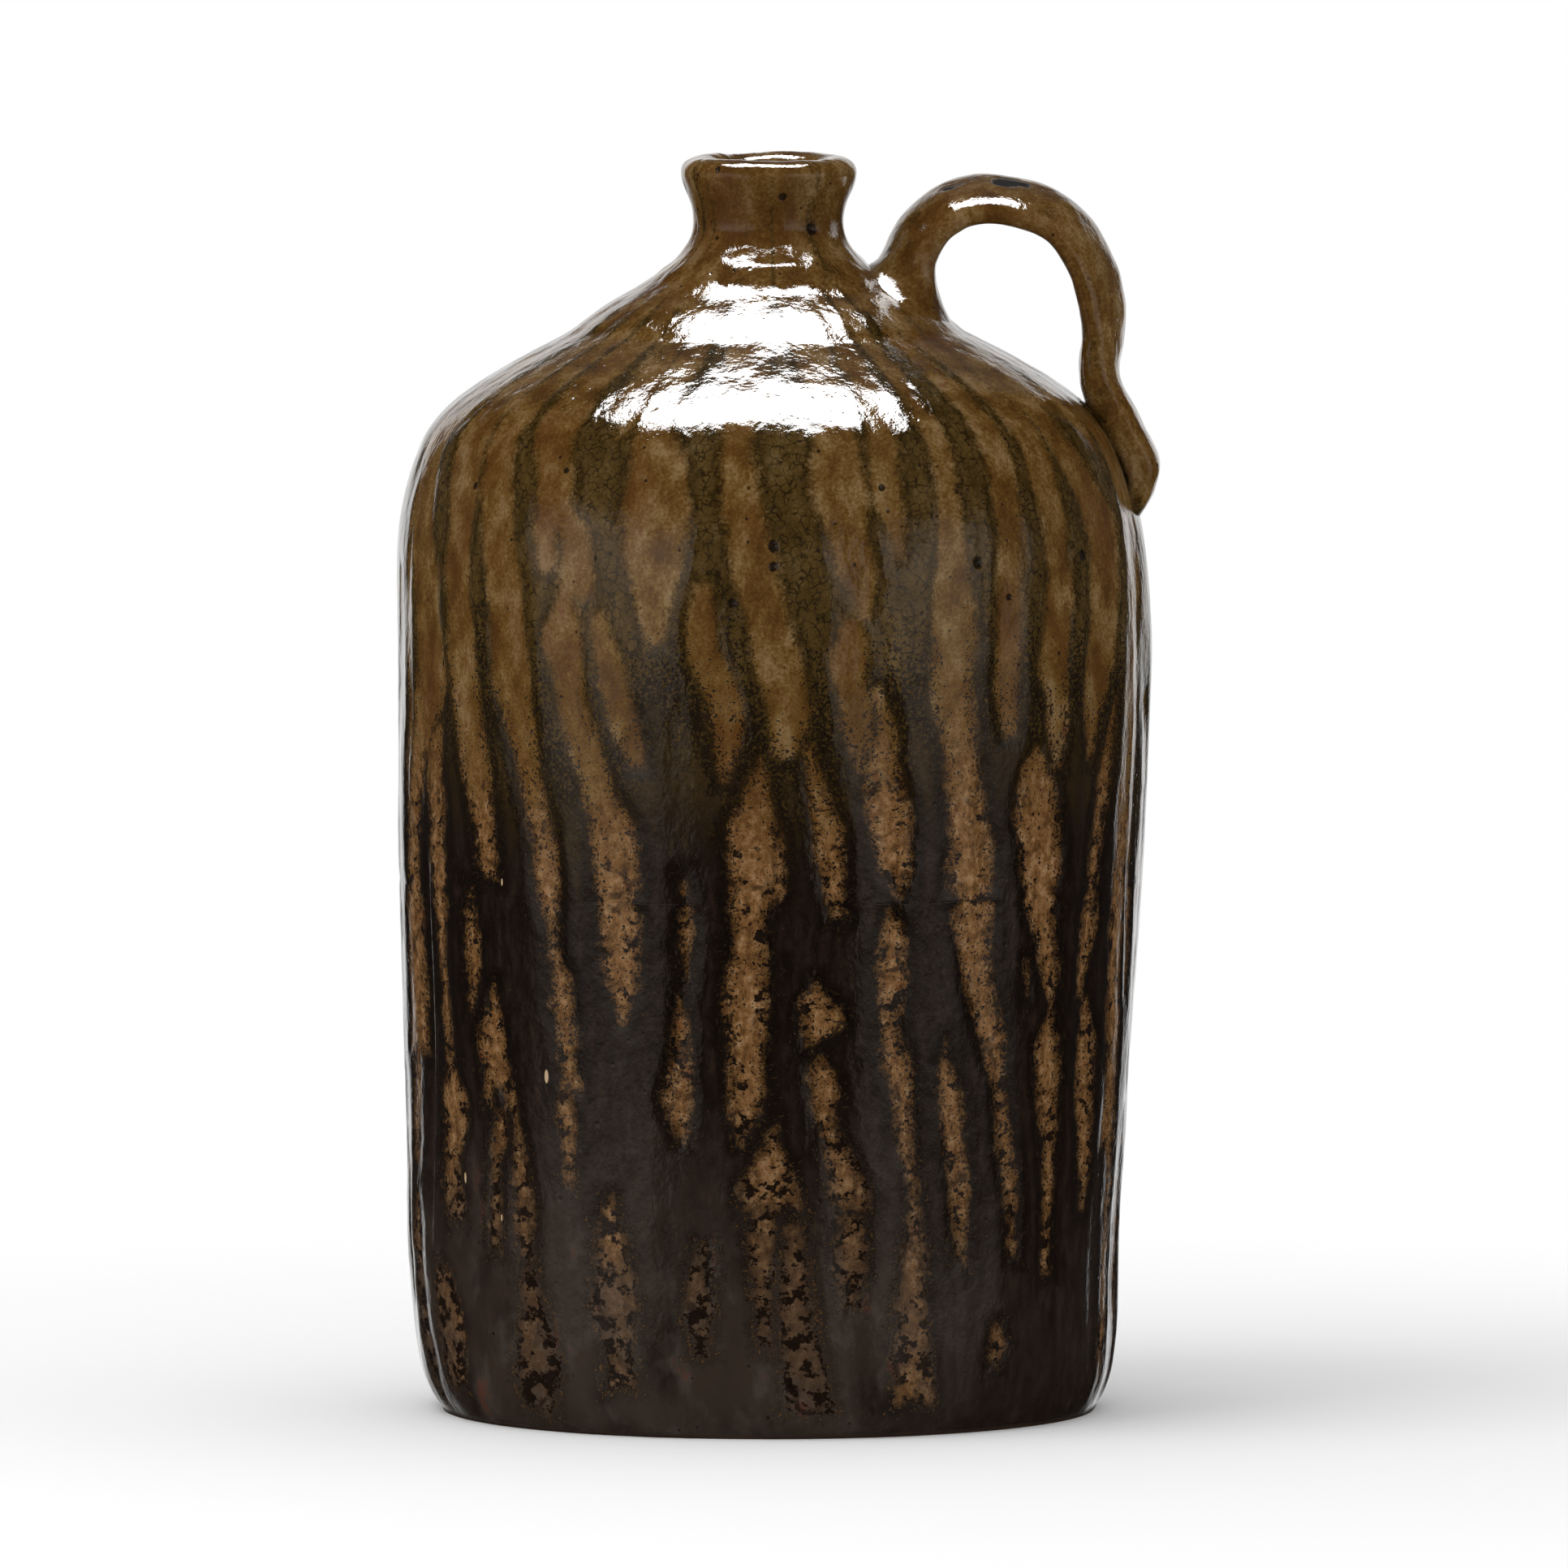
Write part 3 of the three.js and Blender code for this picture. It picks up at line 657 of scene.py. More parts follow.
# %% [markdown]
# ## The strap handle
# The potter pulled a strap of wet clay, pressed one end onto the cap beside the neck, bent the strap over
# and pressed the other end down along the shoulder. The strap is flat, with blunt edges, and leans to the
# front at its top. A curve with a bevel could make it, but would cut straight into the body. So one ring
# of vertices is extruded along the strap's middle line, and the rings next to the body spread out into
# it, because the joint was smoothed over with a wet finger.

# %% Route of the strap
# Points of the strap's middle line: distance from the axis, height and thickness there, all in mm
LOOP = [(37.5, 290, 14.5), (38, 304, 13.8), (39.3, 315.8, 12.0), (44.3, 323.1, 10.2), (51.5, 327.8, 9.4),
        (60.8, 329.3, 9.4), (78.4, 323.8, 9.4), (86.0, 314.3, 9.6), (90.2, 302.4, 9.8), (90.9, 291.7, 10.2)]
TAIL = [(89.8, 285, 10.8), (90.4, 278.6, 11.4), (95.8, 267.3, 11.6), (100.9, 256.6, 11.4),
        (100.9, 252.4, 8.8), (99.9, 248.4, 7.2), (98.4, 245.4, 6.4), (96.8, 243.4, 4.4)]
STRAP_WIDTH = 26.0
TAIL_ROUND = 9.0  # mm at the end of the tail over which its corners are rounded
TAIL_TAPER = 0.8  # how much of the width the rounding takes away
# Distances along the strap in mm, with the degrees that it leans to the front there
STRAP_ROLL = [(0, 0.0), (30, 17.0), (100, 17.0), (122, 0.0)]
# and with how blunt its edges are there: 1 is an oval, and less is blunter
EDGE_PINCH = [(0, 0.8), (30, 0.75), (100, 0.75), (122, 0.6), (140, 0.5)]

marks = np.array(LOOP + TAIL)
middle_line = smooth_line([Vector((x, 0, z)) for x, z, _ in LOOP + TAIL], 0.9)
travel = np.concatenate([[0], np.cumsum([(b - a).length for a, b in zip(middle_line, middle_line[1:])])])
mark_travel = np.concatenate([[0], np.cumsum(np.linalg.norm(np.diff(marks[:, :2], axis=0), axis=1))])
mark_travel *= travel[-1] / mark_travel[-1]
print("strap of", round(travel[-1]), "mm, with a tail of", round(travel[-1] - mark_travel[len(LOOP)]))

# %% Extrude a ring along the route
STRAP_SIDES = 72
ROOT_FILLET = 12.0
TAIL_FILLET = 2.0
ROOT_END = 40  # mm along the strap up to which the root's fillet holds
SUNK = -2.0  # mm off the skin below which the strap is left alone
FILLET_DEPTH = 1.0  # mm below the skin at which a fillet ends, so that it cuts the skin cleanly
sides = np.linspace(0, 2 * math.pi, STRAP_SIDES, endpoint=False)


def clay_distance(places):
    """How far places stand off the uneven skin in mm, the skin points below them and the glaze there."""
    index, reach, off = skin_below(places)
    angle = np.arctan2(places[:, 0], -places[:, 1])
    height = np.minimum(skin[index, 1], below_lip)
    glaze = glaze_fields(angle, reach, height)
    return off - skin_relief(places, angle, reach, height, glaze[0]), index, glaze


def move_out(places, below, distance):
    """Moves places along the outward direction of the skin points below them, in mm."""
    radial = places[:, :2] / np.linalg.norm(places[:, :2], axis=1, keepdims=True)
    places[:, :2] += radial * (skin_out[below][:, :1] * distance[:, None])
    places[:, 2] += skin_out[below][:, 1] * distance


def strap_ring(index):
    """One ring of the strap, spread where it meets the body."""
    ahead = middle_line[min(index + 1, len(middle_line) - 1)] - middle_line[max(index - 1, 0)]
    outward = ahead.cross((0, 1, 0)).normalized()
    thickness = np.interp(travel[index], mark_travel, marks[:, 2])
    pinch = np.interp(travel[index], *np.array(EDGE_PINCH).T)
    across = np.sign(np.cos(sides)) * np.abs(np.cos(sides)) ** pinch * thickness / 2
    cut = 1 - min((travel[-1] - travel[index]) / TAIL_ROUND, 1)
    sideways = np.sin(sides) * STRAP_WIDTH / 2 * math.sqrt(1 - TAIL_TAPER * cut**2)
    roll = math.radians(np.interp(travel[index], *np.array(STRAP_ROLL).T))
    across = across + sideways * math.sin(roll)
    spread = np.stack([across * outward.x, sideways, across * outward.z], axis=1)
    places = np.array(middle_line[index]) + spread
    fillet = ROOT_FILLET if travel[index] < ROOT_END else TAIL_FILLET
    stand_off = clay_distance(places)[0]
    near = np.clip(fillet - stand_off - FILLET_DEPTH, 0, fillet)
    push = fillet - np.sqrt(fillet**2 - near**2)
    places += spread / np.linalg.norm(spread, axis=1, keepdims=True) * push[:, None]
    moved_off, below, _ = clay_distance(places)
    move_out(places, below, (np.maximum(stand_off, SUNK) - moved_off) * (push > 0))
    return places


bm = bmesh.new()
ring = bmesh.ops.create_circle(bm, segments=STRAP_SIDES, radius=1, cap_ends=True)["verts"]
loop_edges = bm.edges[:]
for index in range(len(middle_line)):
    if index:
        grown = bmesh.ops.extrude_edge_only(bm, edges=loop_edges)["geom"]
        loop_edges = [g for g in grown if isinstance(g, bmesh.types.BMEdge)]
        loop_edges = [e for e in loop_edges if len(e.link_faces) == 1]
        ring = [g for g in grown if isinstance(g, bmesh.types.BMVert)]
    for vert, place in zip(ring, strap_ring(index)):
        vert.co = place * MM
bmesh.ops.contextual_create(bm, geom=loop_edges)
bmesh.ops.recalc_face_normals(bm, faces=bm.faces)
mesh = bpy.data.meshes.new("handle_glazed")
bm.to_mesh(mesh)
bm.free()
mesh.shade_smooth()
pieces["handle"] = bpy.data.objects.new("handle_glazed", mesh)
bpy.context.scene.collection.objects.link(pieces["handle"])
print("handle", len(mesh.polygons), "faces")

# %% Fields of the handle
CHIPS = [((48.5, 0, 335), 3.4), ((66.5, 1, 335.5), 5.0), ((58, 0, 337), 2.4)]  # centre and radius in mm
CHIP_STRETCH, CHIP_RAGGED, CHIP_EDGE, CHIP_DEPTH = (0.75, 1, 1), 0.5, 0.15, 0.3
# Two noises on the strap: size and depth in mm, and what they add to its tongue field
WANDER_SIZE, WANDER_DEPTH, WANDER_TAN = 9, 0.35, 0.25
RIPPLE_SIZE, RIPPLE_DEPTH, RIPPLE_TAN = 3.5, 0.12, 0.15
RIPPLE_SHIFT = 31  # sizes, so that the two noises have nothing in common
STRAP_FREE = (0.5, 6)  # mm off the body over which the strap gets its own fields
STRAP_TAN, STRAP_FALL = 0.66, 0.12


def glaze_strap(mesh, proud=math.inf):
    """Gives the strap its uneven skin and its fields, which go over into those of the body.

    What stands further off the body's skin than proud, in mm, is pressed down to that.
    """
    places = positions(mesh)
    normals = directions(mesh)
    wander = np.array([noise.noise(p) for p in (places / WANDER_SIZE).tolist()])
    ripple = np.array([noise.noise(p) for p in (places / RIPPLE_SIZE + RIPPLE_SHIFT).tolist()])
    stand_off, below, (body_tongue, body_fall) = clay_distance(places)
    move_out(places, below, np.minimum(proud - stand_off, 0))
    free = ramp(stand_off, *STRAP_FREE)
    chip = np.zeros(len(places))
    for centre, radius in CHIPS:
        away = np.linalg.norm((places - centre) * CHIP_STRETCH, axis=1) / radius
        chip = np.maximum(chip, ramp(1.0 - away + CHIP_RAGGED * ripple, 0, CHIP_EDGE))
    relief = free * (WANDER_DEPTH * wander + RIPPLE_DEPTH * ripple) - CHIP_DEPTH * chip
    places += normals * relief[:, None]
    tongue = free * (STRAP_TAN + WANDER_TAN * wander + RIPPLE_TAN * ripple)
    tongue += (1 - free) * tongue_level(body_tongue)
    fall = free * STRAP_FALL + (1 - free) * body_fall
    store(mesh, places, tongue=tongue, fall=fall, low=0 * fall, bare=0 * fall, chip=chip)


glaze_strap(mesh)

# %% [markdown]
# ## The lutings of the handle
# Under the root and the tail lies a thin bed of soft clay that was squeezed out a little round the strap.
# The CAD solids of these beds are copied and merged, drawn in a little, and melted into soft lumps by a
# voxel remesh.

# %% Shrink and melt the two beds of clay
BED_VOXEL = 0.6 * MM
BED_SHRINK = 0.9  # a bed is drawn in so that it hides under the strap
BED_PROUD = {"handle_root_lute": 0.6, "handle_tail_lute": 2.4}  # mm that a bed may stand off the skin
for node, proud in BED_PROUD.items():
    bm = bmesh.new()
    bm.from_mesh(frame["nodes"][node].data)
    bmesh.ops.remove_doubles(bm, verts=bm.verts, dist=SNAP)
    centre = sum((vert.co for vert in bm.verts), Vector()) / len(bm.verts)
    for vert in bm.verts:
        vert.co = centre + (vert.co - centre) * BED_SHRINK
    mesh = bpy.data.meshes.new(node + "_glazed")
    bm.to_mesh(mesh)
    bm.free()
    bed = bpy.data.objects.new(node + "_glazed", mesh)
    bpy.context.scene.collection.objects.link(bed)
    bed.modifiers.new("melt", "REMESH").voxel_size = BED_VOXEL
    smooth = bed.modifiers.new("soften", "SMOOTH")
    smooth.factor = 0.5
    smooth.iterations = 6
    shaped = bed.evaluated_get(bpy.context.evaluated_depsgraph_get())
    bed.modifiers.clear()
    bed.data = bpy.data.meshes.new_from_object(shaped)
    bed.data.name = node + "_glazed"
    bed.data.shade_smooth()
    glaze_strap(bed.data, proud)
    pieces[node] = bed
    print(node, len(bed.data.polygons), "faces")

# %% [markdown]
# ## The glaze
# An ash glaze is glass: wood ash and clay melted together, with iron for colour. Where it is thin it is
# tan and mottled, where it is thick and full of iron it is near black, and high on the shoulder it is
# olive. It could be painted as a picture, but a picture has one resolution and a seam. Here the fields on
# the mesh say where each kind of glaze is, and noise at real grain sizes breaks the edges, so it holds up
# from near and far.

# %% A helper for nodes and two for values
def add_node(tree, kind, inputs=None, out=0, stops=(), **settings):
    """Adds a node with its settings and colour stops, sets or links its inputs, and gives an output."""
    made = tree.nodes.new(kind)
    for key, value in settings.items():
        setattr(made, key, value)
    for socket, value in (inputs or {}).items():
        if isinstance(value, bpy.types.NodeSocket):
            tree.links.new(value, made.inputs[socket])
        else:
            made.inputs[socket].default_value = value
    for i, (position, colour) in enumerate(stops):
        stop = made.color_ramp.elements[i] if i < 2 else made.color_ramp.elements.new(1.0)
        stop.position = position
        stop.color = colour
    return made.outputs[out] if made.outputs else made


def linear(hex_colour):
    """An sRGB hex colour as linear RGBA."""
    parts = [int(hex_colour[i : i + 2], 16) / 255 for i in (1, 3, 5)]
    return [p / 12.92 if p <= 0.04045 else ((p + 0.055) / 1.055) ** 2.4 for p in parts] + [1.0]


def per_metre(size_mm):
    """Texture scale for marks of a size in mm."""
    return 1 / (size_mm * MM)


# %% Noise in the melt
# Each row: size of the marks in mm, how much longer than wide they are, and how many finer layers they have
GRAINS = {
    "grit": (0.9, 1, 2),  # specks of ash and iron; the real ones are finer, but would not show
    "clots": (2.4, 1.3, 3),  # tan that drew together in the melt
    "bites": (4.5, 0.8, 3),  # holes in the tan where black shows
    "smear": (2.6, 3, 4),  # streaks of iron in the runs
    "patches": (9.0, 1.6, 3),
    "clouds": (24.0, 2, 2),
}
MATH, MIX, RANGE, VORONOI = "ShaderNodeMath", "ShaderNodeMix", "ShaderNodeMapRange", "ShaderNodeTexVoronoi"


def melt_patterns(tree, place):
    """The noises of the glaze by name, each from about -1 to 1."""
    made = {}
    for name, (size, longer, layers) in GRAINS.items():
        drawn = add_node(tree, "ShaderNodeMapping", {"Vector": place, "Scale": (1, 1, 1 / longer)})
        inputs = {"Vector": drawn, "Scale": per_metre(size), "Detail": layers, "Roughness": 0.6}
        grey = add_node(tree, "ShaderNodeTexNoise", inputs)
        inputs = {"Value": grey, "From Min": 0.25, "From Max": 0.75, "To Min": -1, "To Max": 1}
        made[name] = add_node(tree, RANGE, inputs, clamp=False)
    return made


def weighted_sum(tree, parts):
    """The sum of some fields, each times its gain."""
    total = 0.0
    for field, gain in parts:
        total = add_node(tree, MATH, {0: field, 1: gain, 2: total}, operation="MULTIPLY_ADD")
    return total


# %% Pits, drops, pinholes and cracks
CRACK_SPACING, VEIN_SPACING, PINHOLE_SPACING = 2.3, 9.0, 4.6  # mm
CRACK_BEND, BEND_SIZE = 2.0, 3.0  # mm, how far cracks bend and over what length
# Spots in the glaze: pixel column and row in the photograph, and radius in mm
PITS = [
    (590, 605, 1.1), (953, 678, 1.7), (953, 705, 1.4), (905, 750, 1.4), (1325, 690, 1.7), (1240, 740, 1.0),
    (1198, 695, 1.5), (700, 585, 0.8), (1085, 608, 1.0), (885, 210, 0.9), (965, 245, 1.2), (1000, 285, 1.8),
]
DROPS = [(677, 1322, 0.75), (581, 1445, 0.6), (619, 1083, 0.4), (625, 1496, 0.4), (529, 1126, 0.4)]
FAR = 9.0  # radii from a spot at which it no longer matters


def spot_distance(tree, place, spots, longer):
    """How far a place is from the nearest spot, in its radii; the spots may be longer than wide."""
    wall = np.concatenate([positions(pieces[node].data) for node in SKIN_OF])
    shorten = np.array((1, 1, 1 / longer))
    place = add_node(tree, "ShaderNodeMapping", {"Vector": place, "Scale": shorten.tolist()})
    nearest = FAR
    for column, row, size in spots:
        angle, height = place_on_wall(column, row)
        reach = wall_radius(height)
        spot = (reach * math.sin(angle), -reach * math.cos(angle), float(height))
        spot = wall[np.argmin(np.linalg.norm(wall - spot, axis=1))] * shorten * MM
        inputs = {0: place, 1: spot.tolist()}
        away = add_node(tree, "ShaderNodeVectorMath", inputs, out="Value", operation="DISTANCE")
        away = add_node(tree, MATH, {0: away, 1: per_metre(size)}, operation="MULTIPLY")
        nearest = add_node(tree, MATH, {0: away, 1: nearest}, operation="MINIMUM")
    return nearest


def spot_patterns(tree, place, melt):
    """The cracks and spots of the glaze by name; each is lowest in the middle of a mark."""
    inputs = {"Vector": place, "Scale": per_metre(BEND_SIZE)}
    bend = add_node(tree, "ShaderNodeTexNoise", inputs, out="Color")
    inputs = {0: bend, 1: [CRACK_BEND * MM] * 3, 2: place}
    bend = add_node(tree, "ShaderNodeVectorMath", inputs, operation="MULTIPLY_ADD")
    made = {}
    for name, spacing in (("cracks", CRACK_SPACING), ("veins", VEIN_SPACING)):
        inputs = {"Vector": bend, "Scale": per_metre(spacing)}
        made[name] = add_node(tree, VORONOI, inputs, feature="DISTANCE_TO_EDGE")
    cells = add_node(tree, VORONOI, {"Vector": place, "Scale": per_metre(PINHOLE_SPACING)}).node.outputs
    sizes = add_node(tree, "ShaderNodeSeparateColor", {"Color": cells["Color"]})
    made["pinholes"] = add_node(tree, MATH, {0: cells["Distance"], 1: sizes}, operation="DIVIDE")
    pits = spot_distance(tree, place, PITS, longer=1.0)
    made["pits"] = weighted_sum(tree, [(pits, 1.0), (melt["clots"], 0.25)])
    made["drops"] = spot_distance(tree, place, DROPS, longer=2.8)
    return made


# %% Where each kind of glaze lies
DUSK_FROM, DUSK_TO = 0.46, 0.8  # levels of the fall field between which olive turns to black
CRISP_FROM, CRISP_TO = 0.25, 0.5  # and between which the edge of a tongue gets crisp


def glaze_places(tree, melt):
    """How far a place is in a tongue, at its rim, in the olive, in the black and so on, by name."""
    fields = add_node(tree, "ShaderNodeAttribute", attribute_name="glaze").node.outputs
    chip = add_node(tree, "ShaderNodeAttribute", out="Fac", attribute_name="chip")
    tongue, fall, low = add_node(tree, "ShaderNodeSeparateColor", {"Color": fields["Color"]}).node.outputs
    depth = add_node(tree, RANGE, {"Value": tongue, "To Min": -TONGUE_FADE, "To Max": TONGUE_FADE})  # in mm

    # How far black has taken over from olive
    dusk = weighted_sum(tree, [(fall, 1.0), (melt["smear"], 0.1)])
    inputs = {"Value": dusk, "From Min": DUSK_FROM, "From Max": DUSK_TO}
    dusk = add_node(tree, RANGE, inputs, interpolation_type="SMOOTHSTEP")

    # The tongue's edge in mm: soft and wavy above, crisp and bitten below
    wavy = add_node(tree, RANGE, {"Value": dusk, "To Min": 0.6, "To Max": 0.9})
    wavy = weighted_sum(tree, [(wavy, 1.0), (low, 1.0)])
    inputs = {"Value": fall, "From Min": CRISP_FROM, "From Max": CRISP_TO}
    peppered = add_node(tree, RANGE, inputs | {"To Min": 0.6, "To Max": 2.4})
    calmer = add_node(tree, RANGE, {"Value": fall, "From Min": 0.6, "To Max": 1.3})
    peppered = add_node(tree, MATH, {0: peppered, 1: calmer}, operation="SUBTRACT")
    frayed = [(melt["bites"], wavy), (melt["grit"], peppered), (melt["clots"], 0.5), (melt["patches"], 1.0)]
    edge = weighted_sum(tree, [(depth, 1.0)] + frayed)
    soft = add_node(tree, RANGE, inputs | {"To Min": 1.7, "To Max": 0.45})
    outer = add_node(tree, MATH, {0: soft, 1: -1.0}, operation="MULTIPLY")
    inputs = {"Value": edge, "From Min": outer, "From Max": soft}
    inside = add_node(tree, RANGE, inputs, interpolation_type="SMOOTHSTEP")
    inputs = {"Value": edge, "From Min": -5, "From Max": -1.5}
    rim = add_node(tree, RANGE, inputs, interpolation_type="SMOOTHSTEP")
    made = {"fall": fall, "low": low, "dusk": dusk, "bare": fields["Alpha"], "chip": chip}
    return made | {"depth": depth, "edge": edge, "inside": inside, "rim": rim}


# %% Tints of the melt
TINTS_AT = (-0.7, -0.15, 0.25, 0.8)  # levels of a noise at which the tints of a kind of glaze lie
TINTS = {
    "gold tongue": ("patches", ("#472e12", "#573c19", "#654b26", "#7b6342")),
    "tan tongue": ("clots", ("#51361d", "#6c4c2b", "#7c5a38", "#917352")),
    "olive gap": ("patches", ("#372a0f", "#433216", "#4d3b1c", "#5b492c")),
    "brown gap": ("smear", ("#120c09", "#19110d", "#1f1611", "#281d16")),
    "olive rim": ("smear", ("#2b1f08", "#382910", "#433216", "#514026")),
    "black rim": ("smear", ("#0b0705", "#100a07", "#130d09", "#1a120d")),
}


def melt_colour(tree, melt, at):
    """The colour of the glaze before its marks: tongues, their rims and the gaps between them."""
    tints = {}
    for kind, (grain, colours) in TINTS.items():
        stops = [((level + 1) / 2, linear(colour)) for level, colour in zip(TINTS_AT, colours)]
        level = weighted_sum(tree, [(melt[grain], 1.0), (melt["grit"], 0.5)])
        level = add_node(tree, RANGE, {"Value": level, "From Min": -1, "From Max": 1})
        tints[kind] = add_node(tree, "ShaderNodeValToRGB", {"Fac": level}, stops=stops)
    blends = []
    above_below = [("gold tongue", "tan tongue"), ("olive gap", "brown gap"), ("olive rim", "black rim")]
    for above, below in above_below:
        inputs = {0: at["dusk"], 6: tints[above], 7: tints[below]}
        blends.append(add_node(tree, MIX, inputs, out=2, data_type="RGBA"))
    tongue, gap, rim = blends
    ground = add_node(tree, MIX, {0: at["rim"], 6: gap, 7: rim}, out=2, data_type="RGBA")
    return add_node(tree, MIX, {0: at["inside"], 6: ground, 7: tongue}, out=2, data_type="RGBA")


# %% Marks in the melt
SPECKS_FROM, SPECKS_FULL = 0.46, 0.49  # levels of the fall field at which black specks start and are densest


def glaze_marks(tree, melt, at):
    """Rows of marks: pattern, its levels for none and full, how strong it gets, where, and its colour."""
    inside, dusk, low = at["inside"], at["dusk"], at["low"]
    light = add_node(tree, MATH, {0: 1.0, 1: dusk}, operation="SUBTRACT")
    outside = add_node(tree, MATH, {0: 1.0, 1: inside}, operation="SUBTRACT")
    shares = [(inside, light), (inside, dusk), (outside, dusk)]
    golden, tan, beside = [add_node(tree, MATH, {0: a, 1: b}, operation="MULTIPLY") for a, b in shares]
    rust = weighted_sum(tree, [(melt["patches"], 1.0), (melt["smear"], 1.0)])
    sparks = weighted_sum(tree, [(at["edge"], 0.2), (melt["grit"], 1.0)])
    parts = [(melt["grit"], 0.28), (melt["bites"], -1.0), (low, 0.35), (at["depth"], -0.07)]
    bites = weighted_sum(tree, parts)

    # Black specks: none in the olive, denser down to the black, and thinning out into the tongues
    night = add_node(tree, MATH, {0: at["fall"], 1: SPECKS_FULL}, operation="MINIMUM")
    night = add_node(tree, MATH, {0: night, 1: SPECKS_FROM}, operation="SUBTRACT")
    depth = add_node(tree, MATH, {0: at["depth"], 1: -2.0}, operation="MAXIMUM")
    specks = weighted_sum(tree, [(depth, -0.11), (melt["grit"], 1.0), (night, 4.0)])
    specked = add_node(tree, MATH, {0: light, 1: at["rim"]}, operation="MAXIMUM")
    fewer = add_node(tree, RANGE, {"Value": low, "To Min": 0.88, "To Max": 0.3})
    specked = add_node(tree, MATH, {0: specked, 1: fewer}, operation="MULTIPLY")

    veined = add_node(tree, RANGE, {"Value": melt["patches"], "From Max": 0.6})
    veined = add_node(tree, MATH, {0: veined, 1: tan}, operation="MULTIPLY")
    crazed = add_node(tree, RANGE, {"Value": melt["clots"], "From Min": -0.6, "From Max": 0.3})
    for share in (light, add_node(tree, RANGE, {"Value": at["edge"], "From Min": 1.5, "From Max": -1})):
        crazed = add_node(tree, MATH, {0: crazed, 1: share}, operation="MULTIPLY")
    return [
        (at["edge"], 3.2, 0.3, 0.7, tan, "#38250f"),  # a tongue is browner along its edge
        (melt["clouds"], 0.0, 0.7, 0.4, golden, "#512f14"),  # gold that is redder in places
        (rust, 0.7, 1.3, 0.55, inside, "#54290f"),  # iron that came up red in the tongues
        (melt["clouds"], -1.0, 0.1, 0.8, low, "#392f28"),  # tongues near the foot are duller
        (melt["patches"], -0.1, 0.9, 0.5, low, "#4c463f"),  # a grey bloom near the foot
        (melt["patches"], 0.5, 0.9, 0.5, low, "#582d1d"),  # and red iron beside it
        (sparks, 0.15, 0.35, 0.8, beside, "#6b4f2e"),  # specks of tan beside a tongue
        (bites, 0.02, 0.3, 1.0, tan, "#1a110b"),
        (melt["veins"], 0.1, 0.05, 0.7, veined, "#150d09"),  # black that crept through the lower tongues
        (melt["cracks"], 0.12, 0.03, 0.85, crazed, "#1d1508"),  # crazing, drawn wider than it is
        (specks, 0.02, 0.12, 1.0, specked, "#120c08"),
        (melt["pinholes"], 0.16, 0.1, 0.85, 1.0, "#1a110b"),
        (melt["pits"], 1.1, 0.8, 0.9, 1.0, "#130d09"),
        (melt["drops"], 1.0, 0.7, 1.0, 1.0, "#b59b7c"),  # pale clay where a blister flaked off
        (at["chip"], 0.3, 0.7, 1.0, 1.0, "#15100c"),
        (at["bare"], 0.3, 0.8, 1.0, 1.0, "#3a2a1f"),
    ]


# %% Stoneware ash glaze, poured and fired
BUMP_UNIT = 0.1 * MM  # what a height of 1 in the material stands for
GLAZE_ROUGHNESS, CLAY_ROUGHNESS = 0.07, 0.75
GLAZE_SHINE, CLAY_SHINE = 0.5, 0.05
GLASS_IOR = 1.5


def ash_glaze(name):
    """A runny ash glaze: glossy glass, tan in its tongues, olive above and black below."""
    material = bpy.data.materials.new(name)
    material.use_nodes = True
    tree = material.node_tree
    tree.nodes.clear()
    place = add_node(tree, "ShaderNodeTexCoord", out="Object")
    melt = melt_patterns(tree, place)
    melt |= spot_patterns(tree, place, melt)
    at = glaze_places(tree, melt)
    colour = melt_colour(tree, melt, at)
    for pattern, none, full, gain, where, tint in glaze_marks(tree, melt, at):
        inputs = {"Value": pattern, "From Min": none, "From Max": full, "To Max": gain}
        share = add_node(tree, RANGE, inputs, interpolation_type="SMOOTHSTEP")
        share = add_node(tree, MATH, {0: share, 1: where}, operation="MULTIPLY")
        colour = add_node(tree, MIX, {0: share, 6: colour, 7: linear(tint)}, out=2, data_type="RGBA")

    relief = [(melt["grit"], 0.04), (melt["clots"], 0.35), (melt["patches"], 0.8)]
    for holes, size, bottom in ((melt["pinholes"], 0.2, -0.8), (melt["pits"], 1.2, -4.0)):
        inputs = {"Value": holes, "From Max": size, "To Min": bottom, "To Max": 0.0}
        relief.append((add_node(tree, RANGE, inputs), 1.0))
    height = weighted_sum(tree, relief)
    bump = add_node(tree, "ShaderNodeBump", {"Height": height, "Strength": 1.0, "Distance": BUMP_UNIT})
    raw = add_node(tree, MATH, {0: at["bare"], 1: at["chip"]}, operation="MAXIMUM")
    rough = add_node(tree, RANGE, {"Value": raw, "To Min": GLAZE_ROUGHNESS, "To Max": CLAY_ROUGHNESS})
    shine = add_node(tree, RANGE, {"Value": raw, "To Min": GLAZE_SHINE, "To Max": CLAY_SHINE})
    inputs = {"Base Color": colour, "Roughness": rough, "IOR": GLASS_IOR, "Specular IOR Level": shine}
    shader = add_node(tree, "ShaderNodeBsdfPrincipled", inputs | {"Normal": bump})
    add_node(tree, "ShaderNodeOutputMaterial", {"Surface": shader})
    return material


# %% Dress the pieces
slot_of = {row["node"]: row["material_slot"] for row in frame["record"]["subparts"]}
SLOTS = ("dark_ash_glaze", "olive_ash_glaze", "tan_ash_glaze", "luting_clay")
materials = {slot: ash_glaze(slot) for slot in SLOTS}
for node, piece in pieces.items():
    piece.data.materials.clear()
    piece.data.materials.append(materials[slot_of[node]])
    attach(piece, "root")
    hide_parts(node)
print(len(pieces), "pieces finished")

